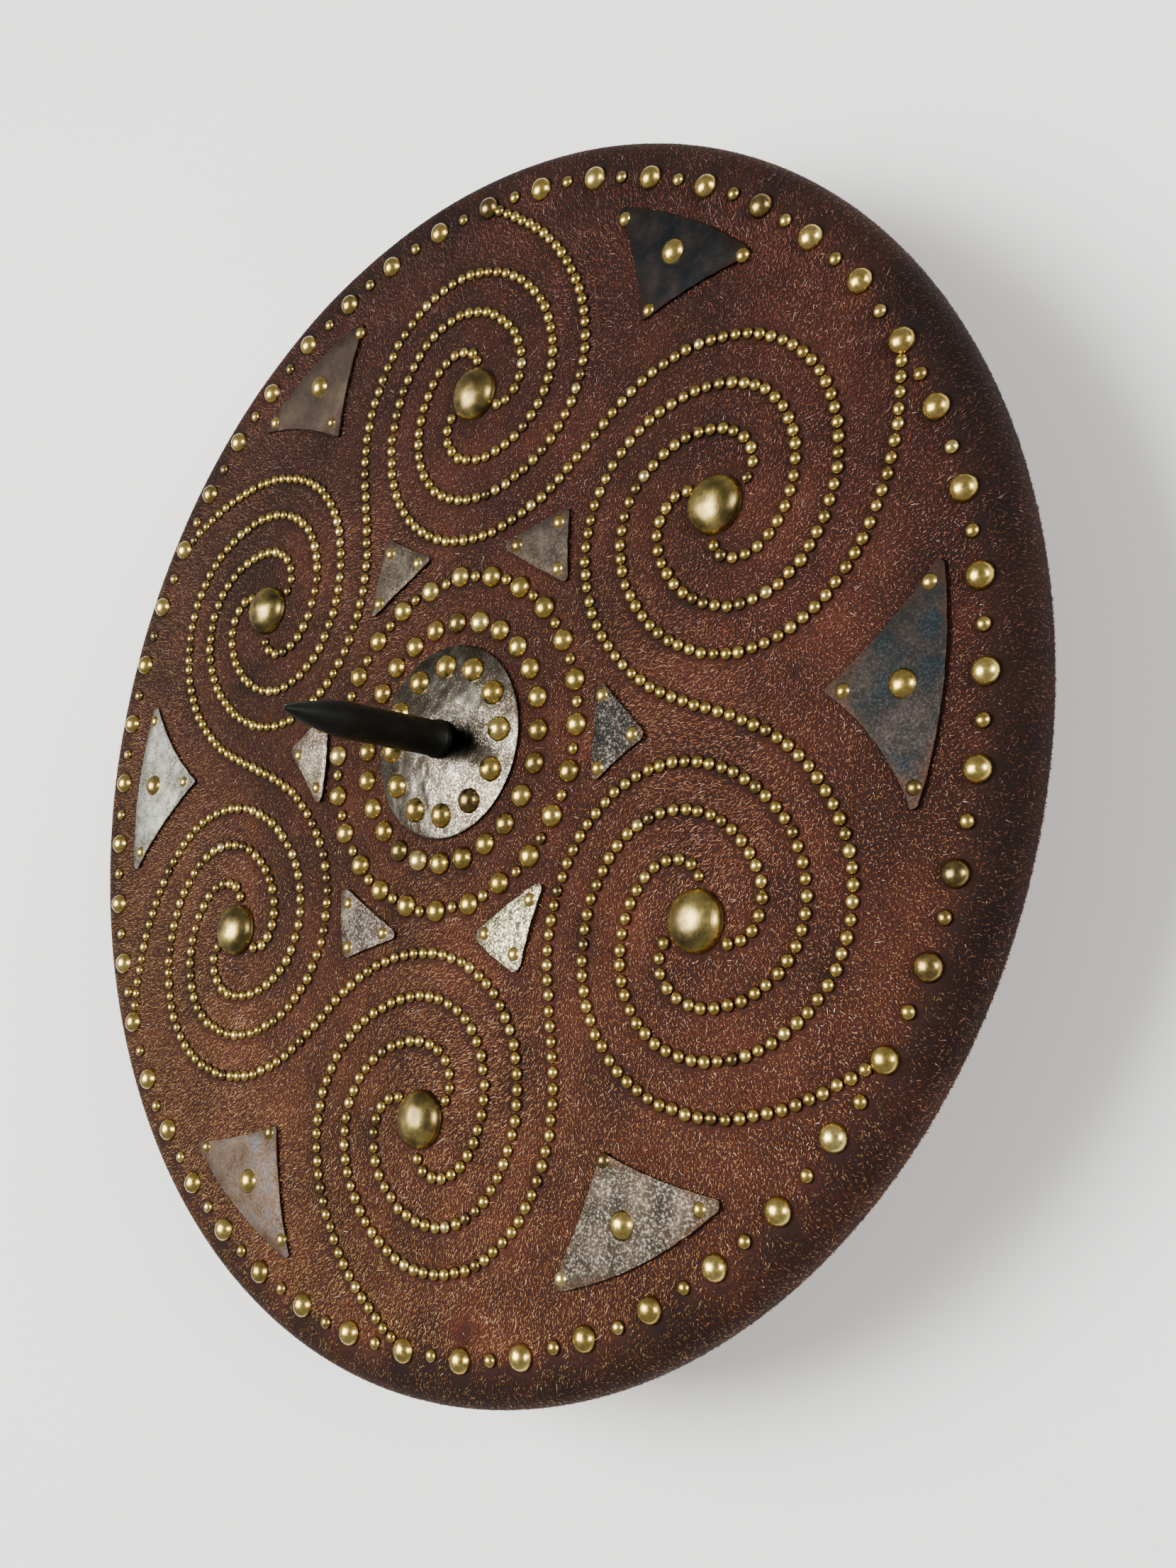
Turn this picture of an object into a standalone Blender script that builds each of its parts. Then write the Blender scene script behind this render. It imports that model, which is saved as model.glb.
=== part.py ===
"""A round hide-covered shield, lying face up on its two leather straps.

The face carries six spirals of small brass studs, three arms to a spiral, set round a centre
plate with a spike, two rings of studs and twelve thin steel plates. The origin is at the middle
of the footprint, at the surface that the straps lie on. +Z is out of the face and +Y points to
the first spiral. Lengths are in metres and angles in degrees.
"""

import math

import bmesh
import bpy
from mathutils import Matrix, Vector

# Board, wood under hide
DIAMETER = 0.500
BOARD_THICKNESS = 0.018
FACE_EDGE_RADIUS = 0.011
BACK_EDGE_RADIUS = 0.005

# Fit between neighbouring pieces
FIT_GAP = 0.0003

# Studs: width across, rise as a share of the half width, and how far they sink into what they hold
BIG_STUD = 0.0102
RING_STUD = 0.0096
SMALL_STUD = 0.0058
ROW_STUD = 0.0047
STUD_RISE = 0.80
STUD_SINK = 0.0006

# Rings of studs round the middle and round the rim
RIM_MARGIN = 0.014
RIM_STUDS = 48
OUTER_RING_RADIUS = 0.069
INNER_RING_RADIUS = 0.0498
RING_STUDS = 24

# Centre plate and its studs
CENTRE_PLATE = 0.080
CENTRE_PLATE_RISE = 0.0035
SHEET = 0.0012
CENTRE_STUD_MARGIN = 0.009
CENTRE_STUDS = 12
CENTRE_STUD_TURN = 3.3

# Spike
SPIKE_DIAMETER = 0.0145
SPIKE_LENGTH = 0.078
SPIKE_POINT = 0.033
SPIKE_POINT_FULLNESS = 0.85
SPIKE_TIP_DIAMETER = 0.0022
SPIKE_COLLAR = 0.0168
SPIKE_COLLAR_HEIGHT = 0.005
SPIKE_LEAN = 2.5
SPIKE_LEAN_TOWARD = -101.0

# Spirals
SPIRALS = 6
ARMS = 3
BOSS = 0.0228
BOSS_RISE = 0.0068
BOSS_INSET = 0.0025
ARM_TURN = 330.0
RIM_ARM_TURN = 292.0
ARM_START_GAP = 0.0016
ARM_FIRST_TURN_GAP = 0.0064
ARM_RUN_IN = 10.0
ARM_SWAY = 0.0011
ARM_SWAY_GROWS_OVER = 60.0
LINK_GAP = 0.006
RING_CLEARANCE = 0.007
ROW_STEP = 20.0
ROW_END_GAP = 0.0006
RIM_ROW_ARRIVAL = 28.0

# Steel plates near the rim: corner reach from the middle line, and places below the rim studs
RIM_PLATE_HALF_WIDTH = 0.0405
RIM_PLATE_TOP = 0.0175
RIM_PLATE_DEPTH = 0.0405
RIM_PLATE_TIP = 0.0018
RIM_PLATE_STUD_INSET = 0.0074
RIM_PLATE_MIDDLE_STUD = 0.0095
RIM_PLATE_BOWS = (0.0026, -0.0034, -0.0034)

# Steel plates near the outer ring: they stand askew, so each corner has its own place
INNER_PLATE_CLEARANCE = 0.0055
INNER_PLATE_LEFT = 0.0195
INNER_PLATE_RIGHT = 0.022
INNER_PLATE_PEAK_SIDE = 0.005
INNER_PLATE_HEIGHT = 0.0255
INNER_PLATE_TIP = 0.0030
INNER_PLATE_STUD_INSET = 0.0064
INNER_PLATE_BOWS = (-0.0004, -0.0014, -0.0012)

# Straps at the back
STRAP_DEPTH = 0.060
STRAP_SPACING = 0.210
STRAP_SPAN = 0.170
STRAP_CREST = 0.084
STRAP_TAB = 0.030
STRAP_BEND = 0.7
STRAP_NAIL = 0.0090
ARM_STRAP_WIDTH = 0.060
ARM_STRAP_THICKNESS = 0.004
GRIP_WIDTH = 0.034
GRIP_THICKNESS = 0.007

# Facets
BOARD_SIDES = 48
BOSS_SIDES = 12
SPIKE_SIDES = 12
SPIKE_POINT_STEPS = 5
BOSS_STEPS = 3
EDGE_STEPS = 4
STRAP_STEPS = 8
PLATE_SIDES = 24
STUD_SIDES = 6

# Heights and radii worked out from the sizes above
BACK_HEIGHT = STRAP_DEPTH
FACE_HEIGHT = BACK_HEIGHT + BOARD_THICKNESS
ON_FACE = FACE_HEIGHT + FIT_GAP
RIM_STUD_RADIUS = DIAMETER / 2 - RIM_MARGIN
BOSS_CIRCLE = (RIM_STUD_RADIUS + OUTER_RING_RADIUS) / 2 - BOSS_INSET
RING_EDGE = OUTER_RING_RADIUS + RING_STUD / 2
SECTOR = 360.0 / SPIRALS

collection = None
cutters = None
materials = {}


def clear_scene():
    """Remove every object that the file opened with."""
    for old in list(bpy.data.objects):
        bpy.data.objects.remove(old, do_unlink=True)


def make_material(name, colour, roughness, metallic):
    """A plain finish for one kind of piece."""
    material = bpy.data.materials.new(name)
    material.use_nodes = True
    shader = material.node_tree.nodes["Principled BSDF"]
    shader.inputs["Base Color"].default_value = (*colour, 1.0)
    shader.inputs["Roughness"].default_value = roughness
    shader.inputs["Metallic"].default_value = metallic
    materials[name] = material


def make_materials():
    """The five finishes of the shield."""
    make_material("hide", (0.110, 0.036, 0.022), 0.95, 0.0)
    make_material("brass", (0.55, 0.40, 0.14), 0.35, 1.0)
    make_material("steel", (0.30, 0.29, 0.29), 0.50, 1.0)
    make_material("black_iron", (0.012, 0.013, 0.012), 0.50, 0.6)
    make_material("strap_leather", (0.085, 0.040, 0.020), 0.65, 0.0)


def new_object(name, mesh, finish, home=None):
    """Put a mesh in the scene as a named object with its finish."""
    piece = bpy.data.objects.new(name, mesh)
    (home or collection).objects.link(piece)
    if finish:
        mesh.materials.clear()
        mesh.materials.append(materials[finish])
    return piece


def smooth(piece, angle=40.0):
    """Shade round stretches smooth and keep sharp edges."""
    piece.data.shade_smooth()
    piece.data.set_sharp_from_angle(angle=math.radians(angle))


def polar(radius, angle):
    """A point in the plane of the face."""
    turn = math.radians(angle)
    return Vector((radius * math.cos(turn), radius * math.sin(turn), 0.0))


def arc(centre, radius, first, last, steps):
    """Points of an arc in a plane, both ends included."""
    angles = [math.radians(first + (last - first) * i / steps) for i in range(steps + 1)]
    return [(centre[0] + radius * math.cos(a), centre[1] + radius * math.sin(a)) for a in angles]


def bezier(start, start_handle, end_handle, end, steps):
    """Points of a smooth curve between two ends, both ends included."""
    points = []
    for i in range(steps + 1):
        t = i / steps
        s = 1.0 - t
        points.append(start * s ** 3 + start_handle * (3 * s * s * t)
                      + end_handle * (3 * s * t * t) + end * t ** 3)
    return points


def turned(name, profile, sides, finish, home=None):
    """Turn a profile of (radius, height) pairs, given from the top down, about the Z axis."""
    mesh = bpy.data.meshes.new(name)
    corners = [(radius, 0.0, height) for radius, height in profile]
    mesh.from_pydata(corners, [(i, i + 1) for i in range(len(corners) - 1)], [])
    piece = new_object(name, mesh, finish, home)
    screw = piece.modifiers.new("turn", "SCREW")
    screw.axis = "Z"
    screw.steps = sides
    screw.render_steps = sides
    screw.use_merge_vertices = True
    screw.merge_threshold = 0.00001
    return piece


def applied(piece):
    """Replace a piece by a mesh of what its curve or modifiers show."""
    evaluated = piece.evaluated_get(bpy.context.evaluated_depsgraph_get())
    mesh = bpy.data.meshes.new_from_object(evaluated)
    name = piece.name
    place = piece.matrix_world.copy()
    home = piece.users_collection[0]
    bpy.data.objects.remove(piece, do_unlink=True)
    shape = bmesh.new()
    shape.from_mesh(mesh)
    bmesh.ops.remove_doubles(shape, verts=shape.verts, dist=0.000001)
    bmesh.ops.recalc_face_normals(shape, faces=shape.faces)
    shape.to_mesh(mesh)
    shape.free()
    solid = new_object(name, mesh, None, home)
    solid.matrix_world = place
    return solid


def join(piece, tool):
    """Make a tool's bodies one with a piece."""
    tool.hide_render = True
    tool.display_type = "WIRE"
    union = piece.modifiers.new("join", "BOOLEAN")
    union.operation = "UNION"
    union.solver = "EXACT"
    union.object = tool


def dome_mesh(width, rise, sink):
    """A low dome that goes on down below its foot, to sink into what carries it."""
    shape = bmesh.new()
    bmesh.ops.create_uvsphere(shape, u_segments=STUD_SIDES, v_segments=4, radius=width / 2)
    bmesh.ops.scale(shape, vec=(1.0, 1.0, rise / (width / 2)), verts=shape.verts)
    cut = bmesh.ops.bisect_plane(
        shape, geom=shape.verts[:] + shape.edges[:] + shape.faces[:],
        plane_co=(0, 0, 0), plane_no=(0, 0, -1), clear_outer=True)
    foot = [edge for edge in shape.edges if edge.is_boundary]
    skirt = bmesh.ops.extrude_edge_only(shape, edges=foot)
    lower = [corner for corner in skirt["geom"] if isinstance(corner, bmesh.types.BMVert)]
    bmesh.ops.translate(shape, vec=(0, 0, -sink), verts=lower)
    bmesh.ops.holes_fill(shape, edges=[edge for edge in shape.edges if edge.is_boundary])
    bmesh.ops.recalc_face_normals(shape, faces=shape.faces)
    mesh = bpy.data.meshes.new("dome")
    shape.to_mesh(mesh)
    shape.free()
    return mesh


def dome_tool(name, places, finish="brass"):
    """One tool that holds a dome for each (point, width, up) in places."""
    shape = bmesh.new()
    for point, width, up in places:
        mesh = dome_mesh(width, STUD_RISE * width / 2, STUD_SINK)
        count = len(shape.verts)
        shape.from_mesh(mesh)
        shape.verts.ensure_lookup_table()
        new = shape.verts[count:]
        turn = Vector((0, 0, 1)).rotation_difference(up).to_matrix().to_4x4()
        bmesh.ops.transform(shape, matrix=Matrix.Translation(point) @ turn, verts=new)
        bpy.data.meshes.remove(mesh)
    mesh = bpy.data.meshes.new(name)
    shape.to_mesh(mesh)
    shape.free()
    return new_object(name, mesh, finish, cutters)


def make_board():
    """The hide-covered board, with the large studs of the rim and of both rings."""
    radius = DIAMETER / 2
    face = arc((radius - FACE_EDGE_RADIUS, FACE_HEIGHT - FACE_EDGE_RADIUS), FACE_EDGE_RADIUS, 90, 0, 4)
    back = arc((radius - BACK_EDGE_RADIUS, BACK_HEIGHT + BACK_EDGE_RADIUS), BACK_EDGE_RADIUS, 0, -90, 2)
    profile = [(0.0, FACE_HEIGHT)] + face + back + [(0.0, BACK_HEIGHT)]
    board = applied(turned("hide_covered_board", profile, BOARD_SIDES, "hide"))
    flatten = board.modifiers.new("one flat face each side", "DECIMATE")
    flatten.decimate_type = "DISSOLVE"
    flatten.angle_limit = math.radians(1.0)
    up = Vector((0, 0, 1))
    top = Vector((0, 0, FACE_HEIGHT))
    rings = ((RIM_STUD_RADIUS, BIG_STUD, RIM_STUDS), (OUTER_RING_RADIUS, RING_STUD, RING_STUDS),
             (INNER_RING_RADIUS, RING_STUD, RING_STUDS))
    places = []
    for ring_radius, width, count in rings:
        places += [(top + polar(ring_radius, 90 + 360 * i / count), width, up) for i in range(count)]
    join(board, dome_tool("board_studs", places))
    smooth(board)


def centre_plate_height(radius):
    """Height of the centre plate's upper side at a distance from its middle."""
    share = radius / (CENTRE_PLATE / 2)
    return ON_FACE + SHEET + CENTRE_PLATE_RISE * (1.0 - share * share)


def make_centre_plate():
    """The dished steel plate in the middle, with its ring of studs."""
    radius = CENTRE_PLATE / 2
    reach = (0.0, 0.35, 0.65, 0.85, 1.0)
    upper = [(radius * share, centre_plate_height(radius * share)) for share in reach]
    lower = [(across, height - SHEET) for across, height in reversed(upper)]
    plate = applied(turned("centre_plate", upper + lower, PLATE_SIDES, "steel"))
    stud_circle = radius - CENTRE_STUD_MARGIN
    slope = 2 * CENTRE_PLATE_RISE * stud_circle / radius ** 2
    places = []
    for i in range(CENTRE_STUDS):
        angle = 90 + CENTRE_STUD_TURN + 360 * i / CENTRE_STUDS
        up = (Vector((0, 0, 1)) + polar(slope, angle)).normalized()
        foot = polar(stud_circle, angle) + Vector((0, 0, centre_plate_height(stud_circle)))
        places.append((foot, BIG_STUD, up))
    join(plate, dome_tool("centre_studs", places))
    smooth(plate)


def make_spike():
    """The black spike: a round shank on a low collar, drawn to a bullet point, leaning a little."""
    half = SPIKE_DIAMETER / 2
    collar = SPIKE_COLLAR / 2
    tip = SPIKE_TIP_DIAMETER / 2
    profile = [(0.0, SPIKE_LENGTH)]
    for i in range(SPIKE_POINT_STEPS + 1):
        share = i / SPIKE_POINT_STEPS
        swell = math.sin(math.radians(90 * share)) ** SPIKE_POINT_FULLNESS
        profile.append((tip + (half - tip) * swell, SPIKE_LENGTH - tip - SPIKE_POINT * share))
    below = -SPIKE_COLLAR_HEIGHT
    profile += [(half, SPIKE_COLLAR_HEIGHT + collar - half), (collar, SPIKE_COLLAR_HEIGHT),
                (collar, below), (0.0, below)]
    spike = applied(turned("spike", profile, SPIKE_SIDES, "black_iron"))
    axis = polar(1.0, SPIKE_LEAN_TOWARD + 90)
    foot = Vector((0, 0, centre_plate_height(0.0) + FIT_GAP))
    lean = Matrix.Rotation(math.radians(SPIKE_LEAN), 4, axis)
    shape = bmesh.new()
    shape.from_mesh(spike.data)
    bmesh.ops.transform(shape, matrix=Matrix.Translation(foot) @ lean, verts=shape.verts)
    bmesh.ops.bisect_plane(
        shape, geom=shape.verts[:] + shape.edges[:] + shape.faces[:],
        plane_co=foot, plane_no=(0, 0, -1), clear_outer=True)
    bmesh.ops.holes_fill(shape, edges=[edge for edge in shape.edges if edge.is_boundary])
    bmesh.ops.recalc_face_normals(shape, faces=shape.faces)
    shape.to_mesh(spike.data)
    shape.free()
    smooth(spike)


def boss_place(index):
    """Centre of a spiral in the plane of the face, and the angle it stands at."""
    angle = 90.0 - SECTOR * index
    return polar(BOSS_CIRCLE, angle), angle


def in_sector(angle, side, out):
    """A point given clockwise of, and outwards along, the line at an angle."""
    return polar(side, angle - 90) + polar(out, angle)


def arm_radius(turned_by):
    """Distance of an arm from its boss's centre, after it has turned by an angle."""
    start = BOSS / 2 + ROW_STUD / 2 + ARM_START_GAP
    first = start + ARM_FIRST_TURN_GAP - ARM_START_GAP
    beside = BOSS_CIRCLE * math.sin(math.radians(SECTOR / 2)) - LINK_GAP
    below = BOSS_CIRCLE - RING_EDGE - RING_CLEARANCE
    last = min(beside, below)
    steady = first + (last - first) * turned_by / ARM_TURN
    run_in = (first - start) * math.exp(-turned_by / ARM_RUN_IN)
    grown = min(turned_by / ARM_SWAY_GROWS_OVER, 1.0)
    sway = ARM_SWAY * math.sin(math.radians(ARMS * turned_by)) * grown
    return steady - run_in + sway


def arm_points(index, start_angle, turn):
    """Points of one arm, from beside the boss outwards, in the plane of the face."""
    centre, angle = boss_place(index)
    steps = round(turn / ROW_STEP)
    turns = [0.0, ROW_STEP / 2] + [turn * i / steps for i in range(1, steps + 1)]
    return [centre + polar(arm_radius(now), angle - 90 + start_angle + now) for now in turns]


def row_profile():
    """Section of a row of touching studs, flat below and peaked above."""
    outline = bpy.data.curves.new("row_profile", "CURVE")
    outline.dimensions = "2D"
    spline = outline.splines.new("POLY")
    half = ROW_STUD / 2
    corners = ((-half, 0.0), (half, 0.0), (0.0, STUD_RISE * half))
    spline.points.add(len(corners) - 1)
    for point, corner in zip(spline.points, corners):
        point.co = (*corner, 0.0, 1.0)
    spline.use_cyclic_u = True
    guide = bpy.data.objects.new("row_profile", outline)
    cutters.objects.link(guide)
    guide.hide_render = True
    guide.display_type = "WIRE"
    return guide


def make_row(name, points, profile):
    """A row of touching studs, as one low ridge along its points."""
    curve = bpy.data.curves.new(name, "CURVE")
    curve.dimensions = "3D"
    curve.twist_mode = "Z_UP"
    curve.bevel_mode = "OBJECT"
    curve.bevel_object = profile
    curve.use_fill_caps = True
    spline = curve.splines.new("POLY")
    spline.points.add(len(points) - 1)
    for point, place in zip(spline.points, points):
        point.co = (place.x, place.y, ON_FACE, 1.0)
    curve.materials.append(materials["brass"])
    row = bpy.data.objects.new(name, curve)
    collection.objects.link(row)
    return applied(row)


def run_on(points, end, arriving, steps):
    """Carry a row on smoothly to an end, which it reaches along the direction arriving."""
    reach = (end - points[-1]).length / 3
    leaving = (points[-1] - points[-2]).normalized()
    return bezier(points[-1], points[-1] + leaving * reach, end - arriving * reach, end, steps)[1:]


def make_link_row(index, profile):
    """The row that runs from a spiral's second arm into the third arm of the next spiral."""
    out = arm_points(index, 90.0 - 360.0 / ARMS, ARM_TURN)
    back = list(reversed(arm_points(index + 1, 90.0 + 360.0 / ARMS, ARM_TURN)))
    link = run_on(out, back[0], (back[1] - back[0]).normalized(), 4)
    make_row(f"link_row_{index + 1}", out + link[:-1] + back, profile)


def make_rim_row(index, profile):
    """The row that runs from a spiral's first arm to the rim stud outside its boss."""
    out = arm_points(index, 90.0, RIM_ARM_TURN)
    angle = boss_place(index)[1]
    arriving = polar(1.0, angle + 90 - RIM_ROW_ARRIVAL)
    end = polar(RIM_STUD_RADIUS, angle) - arriving * (BIG_STUD / 2 + ROW_END_GAP)
    make_row(f"rim_row_{index + 1}", out + run_on(out, end, arriving, 6), profile)


def make_rows():
    """Every row of touching studs."""
    profile = row_profile()
    for index in range(SPIRALS):
        make_link_row(index, profile)
        make_rim_row(index, profile)


def make_bosses():
    """The brass dome at the middle of each spiral."""
    half = BOSS / 2
    for index in range(SPIRALS):
        profile = []
        for i in range(BOSS_STEPS + 1):
            lift = math.radians(90 - 90 * i / BOSS_STEPS)
            profile.append((half * math.cos(lift), BOSS_RISE * math.sin(lift)))
        boss = applied(turned(f"boss_{index + 1}", profile + [(0.0, 0.0)], BOSS_SIDES, "brass"))
        boss.location = boss_place(index)[0] + Vector((0, 0, ON_FACE))
        smooth(boss)


def bowed_triangle(corners, bows, tip_radius):
    """Outline of a sheet with three rounded corners, its edges bowed out or, below 0, in."""
    rounded = []
    for i, corner in enumerate(corners):
        to_last = (corners[i - 1] - corner).normalized()
        to_next = (corners[(i + 1) % 3] - corner).normalized()
        half_angle = to_last.angle(to_next) / 2
        inward = (to_last + to_next).normalized()
        centre = corner + inward * tip_radius
        spread = math.pi / 2 - half_angle
        middle = -inward
        tip = []
        for share in (-1.0, 0.0, 1.0):
            turn = Matrix.Rotation(share * spread, 3, "Z")
            tip.append(centre + turn @ middle * tip_radius)
        if (tip[0] - corners[i - 1]).length > (tip[2] - corners[i - 1]).length:
            tip.reverse()
        rounded.append(tip)
    outline = []
    for i, tip in enumerate(rounded):
        outline += tip
        start, end = tip[-1], rounded[(i + 1) % 3][0]
        along = (end - start).normalized()
        outward = Vector((along.y, -along.x, 0))
        if outward.dot(start - sum(corners, Vector()) / len(corners)) < 0:
            outward.negate()
        for step in range(1, EDGE_STEPS):
            t = step / EDGE_STEPS
            outline.append(start.lerp(end, t) + outward * bows[i] * 4 * t * (1 - t))
    return outline


def make_sheet(name, outline, studs):
    """A thin steel sheet of an outline, lying on the face, with its studs."""
    curve = bpy.data.curves.new(name, "CURVE")
    curve.dimensions = "2D"
    curve.fill_mode = "BOTH"
    curve.extrude = SHEET / 2
    spline = curve.splines.new("POLY")
    spline.points.add(len(outline) - 1)
    for point, place in zip(spline.points, outline):
        point.co = (place.x, place.y, 0.0, 1.0)
    spline.use_cyclic_u = True
    curve.materials.append(materials["steel"])
    sheet = bpy.data.objects.new(name, curve)
    collection.objects.link(sheet)
    sheet.location.z = ON_FACE + SHEET / 2
    bpy.context.view_layer.update()
    sheet = applied(sheet)
    up = Vector((0, 0, 1))
    top = Vector((0, 0, ON_FACE + SHEET))
    places = [(place + top, width, up) for place, width in studs]
    join(sheet, dome_tool(name + "_studs", places))


def corner_studs(corners, inset):
    """A small stud just inside each corner of a plate."""
    middle = sum(corners, Vector()) / len(corners)
    return [(corner + (middle - corner).normalized() * inset, SMALL_STUD) for corner in corners]


def make_rim_plates():
    """The six plates between the spirals, near the rim, each with four studs."""
    top = RIM_STUD_RADIUS - RIM_PLATE_TOP
    low = top - RIM_PLATE_DEPTH
    for index in range(SPIRALS):
        angle = boss_place(index)[1] - SECTOR / 2
        corners = [in_sector(angle, -RIM_PLATE_HALF_WIDTH, top),
                   in_sector(angle, RIM_PLATE_HALF_WIDTH, top), in_sector(angle, 0.0, low)]
        studs = corner_studs(corners, RIM_PLATE_STUD_INSET)
        studs.append((in_sector(angle, 0.0, top - RIM_PLATE_MIDDLE_STUD), RING_STUD))
        outline = bowed_triangle(corners, RIM_PLATE_BOWS, RIM_PLATE_TIP)
        make_sheet(f"rim_plate_{index + 1}", outline, studs)


def make_inner_plates():
    """The six smaller plates outside the outer ring, each with three studs."""
    low = RING_EDGE + INNER_PLATE_CLEARANCE
    for index in range(SPIRALS):
        angle = boss_place(index)[1] - SECTOR / 2
        corners = [in_sector(angle, -INNER_PLATE_LEFT, low),
                   in_sector(angle, INNER_PLATE_PEAK_SIDE, low + INNER_PLATE_HEIGHT),
                   in_sector(angle, INNER_PLATE_RIGHT, low)]
        studs = corner_studs(corners, INNER_PLATE_STUD_INSET)
        outline = bowed_triangle(corners, INNER_PLATE_BOWS, INNER_PLATE_TIP)
        make_sheet(f"inner_plate_{index + 1}", outline, studs)


def strap_side(thickness):
    """Middle line of a strap in the Y-Z plane, from its -Y end to its +Y end."""
    tab = BACK_HEIGHT - FIT_GAP - thickness / 2
    crest = thickness / 2
    foot, bend = STRAP_SPAN / 2, STRAP_CREST / 2
    pull = (foot - bend) * STRAP_BEND
    drop = bezier(Vector((0, foot, tab)), Vector((0, foot - pull, tab)),
                  Vector((0, bend + pull, crest)), Vector((0, bend, crest)), STRAP_STEPS)
    half = [Vector((0, foot + STRAP_TAB, tab))] + drop
    mirrored = [Vector((0, -point.y, point.z)) for point in half]
    return mirrored + list(reversed(half))


def make_strap(name, across, width, thickness, nail_columns):
    """A leather strap bowed out from the back, nailed flat at both ends."""
    shape = bmesh.new()
    line = [shape.verts.new(point + Vector((across - width / 2, 0, 0))) for point in strap_side(thickness)]
    edges = [shape.edges.new(pair) for pair in zip(line, line[1:])]
    strip = bmesh.ops.extrude_edge_only(shape, edges=edges)
    moved = [corner for corner in strip["geom"] if isinstance(corner, bmesh.types.BMVert)]
    bmesh.ops.translate(shape, vec=(width, 0, 0), verts=moved)
    mesh = bpy.data.meshes.new(name)
    shape.to_mesh(mesh)
    shape.free()
    strap = new_object(name, mesh, "strap_leather")
    solidify = strap.modifiers.new("thickness", "SOLIDIFY")
    solidify.thickness = thickness
    solidify.offset = 0.0
    down = Vector((0, 0, -1))
    nail_line = STRAP_SPAN / 2 + STRAP_TAB / 2
    under = BACK_HEIGHT - FIT_GAP - thickness
    places = []
    for side in (-1, 1):
        for column in range(nail_columns):
            offset = width * ((column + 0.5) / nail_columns - 0.5)
            places.append((Vector((across + offset, side * nail_line, under)), STRAP_NAIL, down))
    join(strap, dome_tool(name + "_nails", places))
    smooth(strap)


def make_straps():
    """The wide strap for the forearm and the narrow grip for the hand."""
    half = STRAP_SPACING / 2
    make_strap("arm_strap", -half, ARM_STRAP_WIDTH, ARM_STRAP_THICKNESS, 3)
    make_strap("hand_grip", half, GRIP_WIDTH, GRIP_THICKNESS, 2)


def make_shield():
    """Build every piece."""
    global collection, cutters
    clear_scene()
    collection = bpy.data.collections.new("hide_shield")
    cutters = bpy.data.collections.new("guides")
    bpy.context.scene.collection.children.link(collection)
    bpy.context.scene.collection.children.link(cutters)
    make_materials()
    make_board()
    make_centre_plate()
    make_spike()
    make_bosses()
    make_rows()
    make_rim_plates()
    make_inner_plates()
    make_straps()


make_shield()
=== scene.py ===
"""The looks of a round shield covered in short-haired hide, lying face up on its two straps.

Six spirals of brass nails, two rings of larger ones and a row round the rim stand on the hide,
with twelve thin steel plates, a dished centre plate and a black spike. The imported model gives
every place. Lengths are in metres and angles in degrees, +Z is out of the face, and +Y points
to the first spiral.
"""

import contextlib
import math

import bpy
import numpy as np
from mathutils import Matrix, Vector


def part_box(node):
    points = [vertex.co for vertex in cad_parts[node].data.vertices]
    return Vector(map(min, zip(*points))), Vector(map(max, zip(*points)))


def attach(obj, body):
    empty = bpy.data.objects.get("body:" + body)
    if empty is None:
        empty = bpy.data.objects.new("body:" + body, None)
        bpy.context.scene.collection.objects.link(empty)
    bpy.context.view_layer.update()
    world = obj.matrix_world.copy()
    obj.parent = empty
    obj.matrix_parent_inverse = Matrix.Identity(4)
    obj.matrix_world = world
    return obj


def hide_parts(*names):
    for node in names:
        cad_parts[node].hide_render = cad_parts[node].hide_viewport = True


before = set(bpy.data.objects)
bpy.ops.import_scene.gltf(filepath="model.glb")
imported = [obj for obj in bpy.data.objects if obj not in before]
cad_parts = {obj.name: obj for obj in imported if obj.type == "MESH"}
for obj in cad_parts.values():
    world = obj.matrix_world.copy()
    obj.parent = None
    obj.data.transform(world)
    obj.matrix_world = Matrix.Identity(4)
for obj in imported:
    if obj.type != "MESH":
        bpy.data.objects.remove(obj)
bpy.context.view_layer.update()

MM = 0.001
UP = Vector((0, 0, 1))

# Places that the frame gives
board_low, board_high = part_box("hide_covered_board")
boss_low, boss_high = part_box("boss_1")
arm_low, arm_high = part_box("arm_strap")
grip_low, grip_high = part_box("hand_grip")
plate_low, plate_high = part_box("centre_plate")
FIT_GAP = 0.3 * MM
RADIUS = board_high.x
BACK_HEIGHT = board_low.z
ON_FACE = boss_low.z
FACE_HEIGHT = ON_FACE - FIT_GAP
BOSS_CIRCLE = (boss_low.y + boss_high.y) / 2
BOSS = boss_high.x - boss_low.x
BOSS_RISE = boss_high.z - boss_low.z
CENTRE_PLATE = plate_high.x - plate_low.x

# Edge of the board under its hide
FACE_EDGE_RADIUS = 11.0 * MM
BACK_EDGE_RADIUS = 5.0 * MM
TURNED_OVER = 26.0 * MM
EDGE_FULLNESS = 3.5 * MM
EDGE_SWAY = 0.9 * MM
EDGE_FULL_OVER = 14.0 * MM
HIDE_STEP = 0.6 * MM

# Nails: width across the head, and how high a head stands as a share of its half width
BIG_STUD = 9.8 * MM
RING_STUD = 9.3 * MM
PLATE_STUD = 6.2 * MM
CENTRE_STUD = 10.2 * MM
PLATE_MIDDLE_STUD = 10.7 * MM
RIM_SMALL_STUD = 5.3 * MM
RING_SMALL_STUD = 5.0 * MM
ROW_STUD = 4.9 * MM
STUD_RISE = 0.74

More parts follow.
